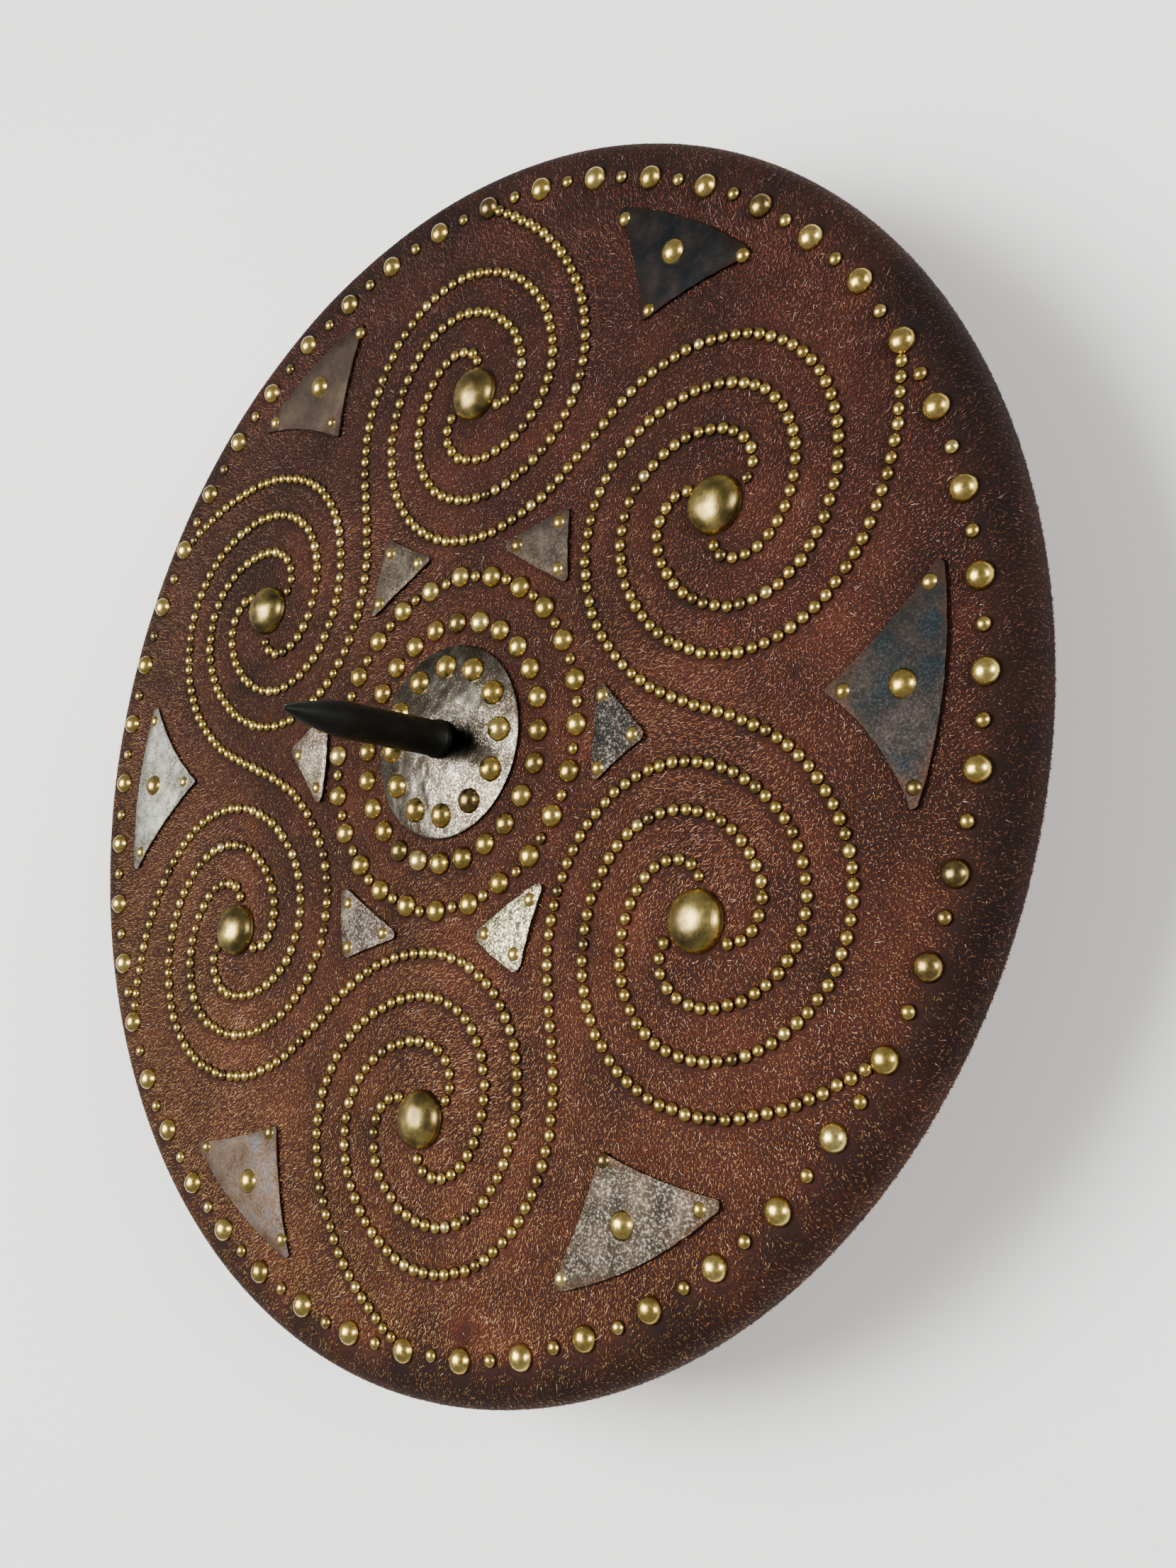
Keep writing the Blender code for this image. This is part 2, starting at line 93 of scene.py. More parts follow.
# Rings of nails
RIM_MARGIN = 14.0 * MM
RIM_STUD_RADIUS = RADIUS - RIM_MARGIN
RIM_STUDS = 48
OUTER_RING_RADIUS = 69.0 * MM
INNER_RING_RADIUS = 49.8 * MM
RING_STUDS = 24
CENTRE_STUD_MARGIN = 9.0 * MM
CENTRE_STUDS = 12
CENTRE_STUD_TURN = 3.3

# Centre plate
CENTRE_PLATE_RISE = 3.5 * MM
SHEET = 1.2 * MM

# Spike
SPIKE_DIAMETER = 14.5 * MM
SPIKE_LENGTH = 78.0 * MM
SPIKE_POINT = 33.0 * MM
SPIKE_POINT_FULLNESS = 0.85
SPIKE_TIP_DIAMETER = 2.2 * MM
SPIKE_COLLAR = 15.8 * MM
SPIKE_COLLAR_HEIGHT = 3.0 * MM
SPIKE_LEAN = 2.5
SPIKE_LEAN_TOWARD = -101.0

# Spirals
SPIRALS = 6
ARMS = 3
SECTOR = 360.0 / SPIRALS
ARM_TURN = 330.0
RIM_ARM_TURN = 292.0
ARM_START_GAP = 1.6 * MM
ARM_FIRST_TURN_GAP = 6.4 * MM
ARM_RUN_IN = 10.0
ARM_SWAY = 1.1 * MM
ARM_SWAY_GROWS_OVER = 60.0
ARM_BASE_STUD = 4.7 * MM
LINK_GAP = 6.0 * MM
RING_CLEARANCE = 7.0 * MM
RING_EDGE = OUTER_RING_RADIUS + RING_STUD / 2
ROW_END_GAP = 0.6 * MM
RIM_ROW_ARRIVAL = 28.0
ROW_PITCH = 5.6 * MM
ROW_JITTER = 0.28 * MM

# The steel plates were cut by hand, so each has its own shape. In millimetres, clockwise of its
# own spoke and out from the middle: the ends of its three tips and the nails in it; then how far
# each side bows out.
RIM_PLATES = (
    (((-37.0, 218.5), (37.5, 216.5), (1.0, 181.5)),
     ((-32.6, 216.0), (34.9, 215.5), (1.7, 186.0), (0.5, 209.5)), (4.0, -2.0, -2.6)),
    (((-38.5, 220.7), (42.0, 212.6), (0.0, 179.0)),
     ((-31.4, 217.4), (34.9, 213.3), (0.7, 186.5), (0.8, 208.5)), (5.0, -4.5, -2.3)),
    (((-42.8, 217.2), (35.3, 213.0), (-4.0, 181.5)),
     ((-34.2, 216.0), (31.5, 212.0), (-3.5, 184.2), (-1.8, 207.2)), (5.4, -1.4, -1.9)),
    (((-43.4, 217.5), (36.5, 217.0), (-4.0, 181.0)),
     ((-35.5, 215.2), (31.1, 215.4), (-1.8, 185.8), (-2.6, 209.4)), (4.4, -1.6, -2.9)),
    (((-44.4, 214.5), (36.7, 211.4), (-3.5, 172.7)),
     ((-35.8, 212.4), (30.1, 212.4), (-3.0, 181.8), (-3.0, 207.0)), (6.2, -3.7, -3.3)),
    (((-40.9, 216.0), (35.0, 215.0), (-0.5, 175.3)),
     ((-33.9, 215.7), (31.5, 212.6), (-1.4, 185.0), (-0.8, 208.2)), (5.0, -2.7, -3.0)))
RIM_PLATE_TIPS = (1.8 * MM, 2.1 * MM, 1.8 * MM)
INNER_PLATES = (
    (((-16.6, 80.9), (7.6, 105.0), (23.2, 80.6)),
     ((-10.4, 83.0), (6.2, 98.9), (16.3, 82.6)), (-0.5, -1.0, 0.2)),
    (((-14.5, 81.0), (7.2, 103.0), (22.0, 80.5)),
     ((-9.8, 82.3), (6.7, 97.6), (17.9, 82.1)), (-0.5, -0.8, 0.3)),
    (((-19.5, 80.8), (5.0, 103.8), (17.8, 80.6)),
     ((-12.2, 83.0), (3.6, 97.4), (13.6, 82.6)), (-1.0, 0.8, 0.4)),
    (((-20.2, 79.0), (1.5, 101.2), (19.0, 79.0)),
     ((-13.3, 81.8), (2.1, 97.2), (13.0, 82.1)), (-0.6, 0.6, -0.4)),
    (((-19.8, 78.4), (5.0, 100.2), (19.0, 79.0)),
     ((-13.3, 80.4), (2.5, 95.0), (13.6, 81.2)), (-0.6, -0.4, 1.4)),
    (((-15.8, 79.0), (6.5, 103.8), (23.8, 79.2)),
     ((-9.5, 81.1), (5.4, 97.5), (17.3, 82.1)), (-0.7, -0.9, -0.5)))
INNER_PLATE_TIPS = (2.4 * MM, 3.4 * MM, 2.4 * MM)
PLATES = {"rim": (RIM_PLATES, RIM_PLATE_TIPS), "inner": (INNER_PLATES, INNER_PLATE_TIPS)}
PLATE_SHEET = 0.8 * MM
PLATE_TOP = 0.9 * MM
PLATE_CUT = 0.16 * MM
PLATE_UNEVEN = 0.14 * MM
PLATE_EDGE_DROP = 0.12 * MM
NAIL_BITE = 0.1 * MM
BOSS_DENTS = 0.13 * MM

# Shades of steel: dark, middle, bright and fleck; then how strong the flecks are, how many
# millimetres wide the clouds, and the smoothest and roughest finish
STEEL_SHADES = {
    "centre_plate": ("#332A20", "#413B32", "#67635A", "#AEAC9A", 0.55, 11, 0.20, 0.38),
    "rim_plate_1": ("#16191C", "#202020", "#2F2926", "#42403F", 0.25, 9, 0.34, 0.50),
    "rim_plate_2": ("#10171A", "#191817", "#241F1D", "#38342F", 0.20, 15, 0.34, 0.50),
    "rim_plate_3": ("#1B1713", "#27211B", "#342D26", "#6A6B60", 0.45, 9, 0.30, 0.46),
    "rim_plate_4": ("#3A2D24", "#4A3D33", "#454447", "#6E6155", 0.35, 13, 0.32, 0.50),
    "rim_plate_5": ("#5E5A4C", "#848176", "#ACAFA2", "#E6E8D8", 0.75, 7, 0.24, 0.42),
    "rim_plate_6": ("#352C26", "#443931", "#54483D", "#706154", 0.25, 15, 0.36, 0.52),
    "inner_plate_1": ("#28231E", "#332C26", "#403830", "#595249", 0.35, 8, 0.34, 0.52),
    "inner_plate_2": ("#0D0C0B", "#151312", "#24211E", "#58554D", 0.50, 5, 0.30, 0.48),
    "inner_plate_3": ("#221F17", "#464234", "#787459", "#B8B498", 0.80, 4, 0.22, 0.42),
    "inner_plate_4": ("#241E19", "#332C25", "#514B42", "#898479", 0.50, 7, 0.30, 0.48),
    "inner_plate_5": ("#393128", "#544A3D", "#786F63", "#B4AD9E", 0.60, 6, 0.26, 0.44),
    "inner_plate_6": ("#2C2720", "#39322A", "#494438", "#716A5F", 0.45, 8, 0.34, 0.52)}

# Nap of the hide: hairs are thicker than real ones, so that they show, and lie outwards near the
# rim. Ranges of length and width are shares, those of strays millimetres, and lifts are angles
# from the skin. The two blemishes are places with a radius.
HAIR_PITCH = 1.06 * MM
HAIR_WIDTH = 0.44 * MM
HAIR_THICKNESS = 0.24 * MM
HAIR_LENGTH = 1.8 * MM
HAIR_LENGTHS = (0.6, 1.3)
HAIR_WIDTHS = (0.65, 1.3)
HAIR_LIFTS = (12, 42)
HAIR_LIFTS_AT_PLATES = (25, 50)
HAIR_TONE = (0.43, 0.165)
HAIR_SWIRL = 100
HAIR_HEADING = -70
HAIR_WANDERS = 0.55
STRAY_HAIRS = 650
STRAY_LENGTHS = (2.0, 4.6)
STRAY_WIDTHS = (0.14, 0.25)
STRAY_LIFTS = (4, 30)
STRAY_TONES = (0.75, 1.1)
LIES_OUTWARD_FROM = 0.15
LIES_OUTWARD_OVER = 0.08
SCORCH = (31.6 * MM, -223.8 * MM, 6.5 * MM)
RUBBED_SPOT = (-121.4 * MM, -115.6 * MM, 5.0 * MM)
SEED = 1745

# Relief of the hide: broad and fine swells, and how deep and how far round it a nail draws it down
HIDE_SWELL = 0.22 * MM
HIDE_FINE_SWELL = 0.08 * MM
PUCKER = 0.55 * MM
PUCKER_REACH = 2.2 * MM

# Straps, stitches and lining
STRAP_SPAN = 170.0 * MM
STRAP_CREST = 84.0 * MM
STRAP_TAB = 30.0 * MM
STRAP_BEND = 0.7
STRAP_NAIL = 9.0 * MM
ARM_STRAP_THICKNESS = 4.0 * MM
GRIP_THICKNESS = 7.0 * MM
STITCH_PITCH = 4.0 * MM
STITCH_MARGIN = 4.0 * MM
STITCH_SINK = 0.22 * MM
STITCH_SIZE = (0.9 * MM, 0.55 * MM, 2.9 * MM, 1)
LINING_THICKNESS = 1.2 * MM
TACK = 5 * MM
TACK_HEIGHT = 1.6 * MM

# Camera, fitted to the large nails in the photograph, and light: the place, size, power and
# colour of each lamp
CAMERA_PLACE = (0.45233, -0.12505, 0.50059)
CAMERA_RIGHT = (0.75298, 0.05799, -0.65548)
CAMERA_UP = (0.07358, 0.98245, 0.17142)
CAMERA_BACK = (0.65392, -0.17730, 0.73550)
CAMERA_LENS = 35.59
CAMERA_SENSOR = 36.0
SKY_STRENGTH = 0.38
LAMPS = (("window_lamp", (-1.45, 0.02, 2.75), (1.6, 2.0), 205.0, (1.0, 0.985, 0.96)),
         ("side_lamp", (2.7, 0.35, 1.25), (1.0, 1.2), 98.0, (1.0, 0.99, 0.97)))

rng = np.random.default_rng(SEED)


def polar(radius, angle):
    """A point in the plane of the face."""
    turn = math.radians(angle)
    return Vector((radius * math.cos(turn), radius * math.sin(turn), 0.0))


def unit(vectors):
    """A vector, or each row of a table of them, at length 1."""
    return vectors / np.linalg.norm(vectors, axis=-1, keepdims=True)


def in_sector(angle, side, out):
    """A point given clockwise of, and outwards along, the line at an angle."""
    return polar(side, angle - 90) + polar(out, angle)


def bezier(start, start_handle, end_handle, end, steps):
    """Points of a smooth curve between two ends, both ends included."""
    points = []
    for i in range(steps + 1):
        t = i / steps
        s = 1.0 - t
        points.append(start * s ** 3 + start_handle * (3 * s * s * t)
                      + end_handle * (3 * s * t * t) + end * t ** 3)
    return points


# Materials

def srgb(code):
    """A hex colour as the linear colour that the shader works in."""
    shares = [int(code[i:i + 2], 16) / 255 for i in (1, 3, 5)]
    linear = [s / 12.92 if s <= 0.04045 else ((s + 0.055) / 1.055) ** 2.4 for s in shares]
    return (*linear, 1.0)


def per_mm(size):
    """The scale of a pattern whose features are a size in millimetres."""
    return 1000.0 / size


def add(tree, kind, inputs=None, **settings):
    """Add a node with its settings, and with its inputs as values or as outputs to link."""
    node = tree.nodes.new(kind)
    for name, value in settings.items():
        setattr(node, name, value)
    for name, value in (inputs or {}).items():
        if isinstance(value, bpy.types.NodeSocket):
            tree.links.new(value, node.inputs[name])
        else:
            node.inputs[name].default_value = value
    return node


def noise(tree, where, size, detail, **more):
    """A cloudy pattern with features of a size in millimetres."""
    inputs = {"Vector": where, "Scale": per_mm(size), "Detail": detail, **more}
    return add(tree, "ShaderNodeTexNoise", inputs).outputs["Fac"]


def attribute(tree, name):
    """The value that a piece's vertices carry under a name."""
    return add(tree, "ShaderNodeAttribute", attribute_name=name).outputs["Fac"]


def parts_of(tree, vector):
    """The outputs X, Y and Z of a vector."""
    return add(tree, "ShaderNodeSeparateXYZ", {"Vector": vector}).outputs


def maths(tree, operation, *values, **settings):
    """The outcome of one sum on values and outputs."""
    inputs = dict(enumerate(values))
    return add(tree, "ShaderNodeMath", inputs, operation=operation, **settings).outputs[0]


def spread(tree, value, low, high, to_low, to_high):
    """A value taken from the range low to high to another range, and kept within it."""
    inputs = {"Value": value, "From Min": low, "From Max": high, "To Min": to_low, "To Max": to_high}
    return add(tree, "ShaderNodeMapRange", inputs).outputs[0]


def ramp(tree, share, *stops):
    """A colour for each share, from stops of a position and a hex colour."""
    node = add(tree, "ShaderNodeValToRGB", {"Fac": share})
    elements = node.color_ramp.elements
    while len(elements) < len(stops):
        elements.new(0.5)
    for element, (position, code) in zip(elements, stops):
        element.position = position
        element.color = srgb(code)
    return node.outputs["Color"]


def mix(tree, share, first, second, blend_type="MIX"):
    """A first colour with a share of a second one laid over it."""
    inputs = {"Factor": share, "A": first, "B": second}
    node = add(tree, "ShaderNodeMix", inputs, data_type="RGBA", blend_type=blend_type)
    return node.outputs["Result"]


def start_material(name, shader_inputs=None):
    """A new material, its node tree and the object's own coordinates."""
    material = bpy.data.materials.new(name)
    material.use_nodes = True
    tree = material.node_tree
    for label, value in (shader_inputs or {}).items():
        tree.nodes["Principled BSDF"].inputs[label].default_value = value
    return material, tree, add(tree, "ShaderNodeTexCoord").outputs["Object"]


def dress(tree, colour, roughness, height, strength, depth):
    """Link the shader to a colour, a roughness and a relief with a depth in millimetres."""
    relief = {"Height": height, "Strength": strength, "Distance": depth * MM}
    normal = add(tree, "ShaderNodeBump", relief).outputs["Normal"]
    inputs = tree.nodes["Principled BSDF"].inputs
    for label, output in (("Base Color", colour), ("Roughness", roughness), ("Normal", normal)):
        tree.links.new(output, inputs[label])


def hide_tone_and_painted_shade(tree, where, place, zones):
    """How light the hide is, partly its own colour and partly painted light: about 1 in the middle,
    lighter towards the bottom, darkened at the far right by painted shade, and painted shade
    nearly black where the edge rolls down to the right and below."""
    product = add(tree, "ShaderNodeVectorMath", {0: where, 1: where}, operation="DOT_PRODUCT")
    reach_squared = product.outputs["Value"]
    # Broad level, lighter towards the bottom: partly the hide's own colour, partly painted light.
    level = maths(tree, "MULTIPLY_ADD", reach_squared, -2.2, 0.60)
    for source, weight in ((place["X"], 1.1), (place["Y"], -2.3), (zones, 1.2)):
        level = maths(tree, "MULTIPLY_ADD", source, weight, level)
    # Painted shade: darker towards the far right.
    level = maths(tree, "SUBTRACT", level, spread(tree, place["X"], 0.18, 0.24, 0.0, 0.50))
    # Painted shade where the edge rolls down, strongest towards the lower right.
    rolled = spread(tree, reach_squared, 0.0610, 0.0655, 0.0, 1.0)
    towards_shaded_side = maths(tree, "MULTIPLY", place["X"], 0.85)
    towards_shaded_side = maths(tree, "MULTIPLY_ADD", place["Y"], -0.55, towards_shaded_side)
    side = spread(tree, towards_shaded_side, -0.10, 0.10, 0.0, 0.55)
    kept = maths(tree, "SUBTRACT", 1.0, maths(tree, "MULTIPLY", rolled, side))
    return maths(tree, "MULTIPLY", level, kept)


def hide_skin_material():
    """Dark cattle skin between the hairs: matt, nearly black-brown, finely pored, and carrying
    the hide's painted light and shade.
    """
    material, tree, where = start_material("hide_skin", {"Specular IOR Level": 0.15})
    pores = noise(tree, where, 1.1, 4.0)
    mixed = maths(tree, "MULTIPLY", noise(tree, where, 28, 5.0), pores)
    colour = ramp(tree, mixed, (0.12, "#170906"), (0.28, "#2B130C"), (0.45, "#401F12"))
    # The hide's broad level, partly painted light, with painted shade at the far right and on the
    # rolled edge.
    level = hide_tone_and_painted_shade(tree, where, parts_of(tree, where), noise(tree, where, 75, 3.0))
    shaded = mix(tree, 1.0, colour, level, "MULTIPLY")
    dress(tree, shaded, spread(tree, pores, 0.0, 1.0, 0.7, 0.95), pores, 0.8, 0.4)
    return material


def hair_material():
    """Short cattle hair, red-brown: each hair has its own tone, from near black to straw, and a
    low sheen. It is redder towards the top and more orange towards the bottom left, partly its
    own colour and partly painted light, and it carries the hide's painted light and shade."""
    material, tree, where = start_material("cattle_hair", {"Specular IOR Level": 0.18})
    zones = noise(tree, where, 75, 3.0)
    place = parts_of(tree, where)
    # Redder towards the top right: partly the hide's own colour, partly painted light.
    redness_partly_painted_light = maths(tree, "MULTIPLY_ADD", place["X"], 1.2, 0.15)
    redness_partly_painted_light = maths(tree, "MULTIPLY_ADD", place["Y"], 2.2, redness_partly_painted_light)
    redness_partly_painted_light = maths(tree, "MULTIPLY_ADD", zones, 0.8, redness_partly_painted_light, use_clamp=True)
    tone = maths(tree, "MULTIPLY_ADD", noise(tree, where, 14, 4.0), 0.30, attribute(tree, "tone"))
    tone = maths(tree, "SUBTRACT", tone, 0.15)
    brown = ramp(tree, tone, (0.0, "#38190B"), (0.30, "#754A22"), (0.66, "#AC8650"),
                 (0.92, "#DCBC88"), (1.0, "#F0DCC4"))
    maroon = ramp(tree, tone, (0.0, "#3A1512"), (0.30, "#753A29"), (0.66, "#A8705A"),
                  (0.92, "#D2AC98"), (1.0, "#F0D8CC"))
    # The hide's level, with its painted light and shade.
    level = hide_tone_and_painted_shade(tree, where, place, zones)
    shaded = mix(tree, 1.0, mix(tree, redness_partly_painted_light, brown, maroon), level, "MULTIPLY")
    fine = noise(tree, where, 0.5, 2.0)
    dress(tree, shaded, spread(tree, fine, 0.0, 1.0, 0.45, 0.8), fine, 0.3, 0.1)
    return material


def brass_stud_material():
    """Stamped brass nail heads, handled and lightly tarnished: pale gold with olive in the hollows,
    a few browner or duller, with a soft polish that still mirrors the lamps. Dirt and painted
    shade darken the steep foot of each head."""
    material, tree, where = start_material("stamped_brass", {"Metallic": 1.0})
    tone = maths(tree, "MULTIPLY_ADD", noise(tree, where, 2.4, 5.0), 0.55, attribute(tree, "tone"))
    tone = maths(tree, "SUBTRACT", tone, 0.27)
    colour = ramp(tree, tone, (0.0, "#63543A"), (0.22, "#857043"), (0.45, "#B09650"),
                  (0.80, "#D6BE72"), (1.0, "#E4D098"))
    normal = add(tree, "ShaderNodeTexCoord").outputs["Normal"]
    # Dirt and painted shade: darker where the head turns steeply down to its foot.
    dirt_and_painted_shade = spread(tree, parts_of(tree, normal)["Z"], 0.05, 0.42, 0.85, 0.0)
    wear = noise(tree, where, 1.2, 4.0)
    dress(tree, mix(tree, dirt_and_painted_shade, colour, srgb("#33280F")),
          spread(tree, wear, 0.3, 0.7, 0.20, 0.34), wear, 0.25, 0.12)
    return material


def boss_material():
    """Spun brass bosses, duller than the nails: a satin, finely scratched skin with yellower
    patches where it is rubbed and small dark pits."""
    material, tree, where = start_material("spun_brass", {"Metallic": 1.0})
    colour = ramp(tree, noise(tree, where, 9, 5.0),
                  (0.32, "#4C422A"), (0.5, "#806F42"), (0.66, "#B8A35E"))
    pits = spread(tree, noise(tree, where, 1.0, 3.0), 0.66, 0.74, 0.0, 1.0)
    stretch = add(tree, "ShaderNodeMapping", {"Vector": where, "Scale": (1.0, 0.12, 1.0)})
    scratches = noise(tree, stretch.outputs["Vector"], 0.35, 3.0)
    dress(tree, mix(tree, pits, colour, srgb("#3A3222")),
          spread(tree, scratches, 0.3, 0.7, 0.24, 0.38), scratches, 0.25, 0.08)
    return material


def steel_material(name, dark, middle, bright, fleck, flecks, patch_size, smoothest, roughest):
    """Thin steel sheet with a worn zinc wash: pale and dark crystals over cloudy grey, brown at the
    edges and tips, partly rust and partly a painted reflection of the hide. Each plate has its own
    shades, and the crystals are a little too large, so that they show. On the centre plate,
    painted shade darkens the spike's root and the upper half."""
    material, tree, where = start_material(name, {"Metallic": 1.0})
    clouds = noise(tree, where, patch_size, 6.0, Roughness=0.6)
    colour = ramp(tree, clouds, (0.34, dark), (0.5, middle), (0.66, bright))
    crystals = noise(tree, where, 0.9, 3.0, Roughness=0.6)
    pale = spread(tree, crystals, 0.52, 0.66, 0.0, flecks)
    deep = spread(tree, crystals, 0.48, 0.36, 0.0, flecks * 0.85)
    # Brown at edges and tips: partly rust, partly a painted reflection of the hide.
    rust_and_reflection = maths(tree, "MULTIPLY", noise(tree, where, 5, 5.0), attribute(tree, "edge"))
    rust_and_painted_reflection = spread(tree, rust_and_reflection, 0.22, 0.5, 0.0, 0.65)
    # On the centre plate, painted shade: the spike's painted shadow and reflection, and a darker upper
    # half.
    for share, code in ((pale, fleck), (deep, "#1B1714"), (rust_and_painted_reflection, "#2C1E16"),
                        (attribute(tree, "painted_shade_mask"), "#0C0906")):
        colour = mix(tree, share, colour, srgb(code))
    dress(tree, colour, spread(tree, crystals, 0.35, 0.65, roughest, smoothest), crystals, 0.22, 0.15)
    return material


def black_iron_material():
    """Forged iron, fire-blacked and oiled: close to black with a low satin, faintly brown and green
    where the black has rubbed thin."""
    material, tree, where = start_material("fire_blacked_iron", {"Metallic": 0.7})
    colour = ramp(tree, noise(tree, where, 9, 6.0),
                  (0.35, "#080808"), (0.55, "#0F100E"), (0.72, "#1E1D17"))
    forged = noise(tree, where, 1.4, 4.0)
    dress(tree, colour, spread(tree, forged, 0.3, 0.7, 0.42, 0.62), forged, 0.35, 0.25)
    return material


def leather_material(name, dark, light, grain_size, smoothest):
    """Vegetable-tanned leather: a pebbled grain, darker in its creases, paler where it is worn."""
    material, tree, where = start_material(name)
    wear = noise(tree, where, 22, 6.0)
    pebbles = add(tree, "ShaderNodeTexVoronoi", {"Vector": where, "Scale": per_mm(grain_size)},
                  feature="DISTANCE_TO_EDGE")
    crease = spread(tree, pebbles.outputs["Distance"], 0.0, 0.12, 0.0, 1.0)
    colour = mix(tree, crease, srgb(dark), ramp(tree, wear, (0.32, dark), (0.7, light)))
    dress(tree, colour, spread(tree, wear, 0.3, 0.7, smoothest, smoothest + 0.2), crease, 0.4, 0.2)
    return material


def thread_material():
    """Waxed linen thread: dull cream gone brown."""
    material, tree, where = start_material("waxed_linen")
    lay = noise(tree, where, 0.6, 3.0)
    colour = ramp(tree, lay, (0.35, "#6B5538"), (0.65, "#B59E74"))
    dress(tree, colour, spread(tree, lay, 0.0, 1.0, 0.55, 0.85), lay, 0.5, 0.1)
    return material


def floor_material():
    """Matt white paper sweep: very slightly cloudy, with the faint tooth of uncoated stock."""
    material, tree, where = start_material("white_paper")
    cloud = noise(tree, where, 500, 3.0)
    colour = ramp(tree, cloud, (0.3, "#F8F7F5"), (0.7, "#FCFBF9"))
    rough = spread(tree, cloud, 0.0, 1.0, 0.8, 0.95)
    dress(tree, colour, rough, noise(tree, where, 0.8, 2.0), 0.1, 0.05)
    return material


# Mesh helpers

def only(piece):
    """Select this piece alone and make it the active one."""
    bpy.ops.object.select_all(action="DESELECT")
    piece.select_set(True)
    bpy.context.view_layer.objects.active = piece


def start(name, primitive, **settings):
    """A new piece from a primitive, named, with its place in its mesh."""
    bpy.ops.object.select_all(action="DESELECT")
    primitive(**settings)
    piece = bpy.context.object
    piece.name = name
    piece.data.name = name
    bpy.ops.object.transform_apply(location=True, rotation=True, scale=True)
    return piece


@contextlib.contextmanager
def editing():
    """Edit the active piece, with all of it selected."""
    bpy.ops.object.mode_set(mode="EDIT")
    bpy.ops.mesh.select_all(action="SELECT")
    yield
    bpy.ops.object.mode_set(mode="OBJECT")


def select_open_edge():
    """Select the open edge of the piece that is being edited."""
    bpy.ops.mesh.select_mode(type="EDGE")
    bpy.ops.mesh.select_all(action="DESELECT")
    bpy.ops.mesh.select_non_manifold()


def carry_on(rise, share=None, height=0.0):
    """Extrude the selected edge by a rise and scale it by a share about a height."""
    bpy.ops.mesh.extrude_region_move(TRANSFORM_OT_translate={"value": (0, 0, rise)})
    if share:
        bpy.ops.transform.resize(value=(share, share, 1.0), center_override=(0, 0, height))


def close_off():
    """Close the selected edge with one face, and turn all faces outwards."""
    bpy.ops.mesh.edge_face_add()
    bpy.ops.mesh.select_all(action="SELECT")
    bpy.ops.mesh.normals_make_consistent(inside=False)


def corners_of(piece):
    """A piece's vertices as rows of x, y, z."""
    flat = np.empty(len(piece.data.vertices) * 3)
    piece.data.vertices.foreach_get("co", flat)
    return flat.reshape(-1, 3)


def put_corners(piece, corners):
    """Move a piece's vertices."""
    piece.data.vertices.foreach_set("co", corners.astype(np.float32).ravel())
    piece.data.update()


def mark(piece, name, values):
    """Give each of a piece's vertices a value, which its material reads by this name."""
    layer = piece.data.attributes.new(name, "FLOAT", "POINT")
    layer.data.foreach_set("value", np.asarray(values, np.float32))


def thicken(piece, thickness, bevel=0.0, segments=1, offset=-1.0):
    """Give a sheet its thickness, behind its faces unless the offset is 1, and bevel its edges."""
    solid = piece.modifiers.new("thickness", "SOLIDIFY")
    solid.thickness = thickness
    solid.offset = offset
    if bevel:
        edge = piece.modifiers.new("edge", "BEVEL")
        edge.width = bevel
        edge.segments = segments
        edge.limit_method = "ANGLE"
    only(piece)
    for modifier in list(piece.modifiers):
        bpy.ops.object.modifier_apply(modifier=modifier.name)


def keep(piece, material, angle, nodes):
    """Finish a piece: its material, smooth shading up to an angle, if any, and its tie to the
    frame: its body and the nodes it stands for, which it hides."""
    piece.data.materials.clear()
    piece.data.materials.append(material)
    if angle:
        only(piece)
        bpy.ops.object.shade_smooth_by_angle(angle=math.radians(angle))
    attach(piece, "root")
    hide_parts(*nodes)


def ripple(x, y, size, seed):
    """Smooth seeded unevenness from -1 to 1 over a plane, with waves of about a size."""
    waves = np.random.default_rng(seed)
    total = np.zeros_like(x)
    count = 9
    for _ in range(count):
        heading = waves.uniform(0, 2 * math.pi)
        length = size * waves.uniform(0.7, 1.6)
        phase = waves.uniform(0, 2 * math.pi)
        total += np.sin((x * math.cos(heading) + y * math.sin(heading)) * 2 * math.pi / length + phase)
    return total / count * 2.0


def disc(name, radius, cuts, height):
    """A round sheet of even squares: a square grid drawn in to a circle."""
    sheet = start(name, bpy.ops.mesh.primitive_grid_add, x_subdivisions=cuts, y_subdivisions=cuts,
                  size=2.0)
    corners = corners_of(sheet)
    x, y = corners[:, 0].copy(), corners[:, 1].copy()
    corners[:, 0] = radius * x * np.sqrt(1 - y * y / 2)
    corners[:, 1] = radius * y * np.sqrt(1 - x * x / 2)
    corners[:, 2] = height
    put_corners(sheet, corners)
    return sheet


def dome(name, segments, rings, skirt, lip=0.0, flange=1.0):
    """A unit nail head: half a ball on a skirt. With a lip, a thin rolled edge stands out first."""
    head = start(name, bpy.ops.mesh.primitive_uv_sphere_add, segments=segments, ring_count=rings,
                 radius=0.5)
    with editing():
        bpy.ops.mesh.bisect(plane_co=(0, 0, 0), plane_no=(0, 0, 1), clear_inner=True)
        select_open_edge()
        if lip:
            carry_on(-lip, flange)
        carry_on(-skirt)
        close_off()
    return head


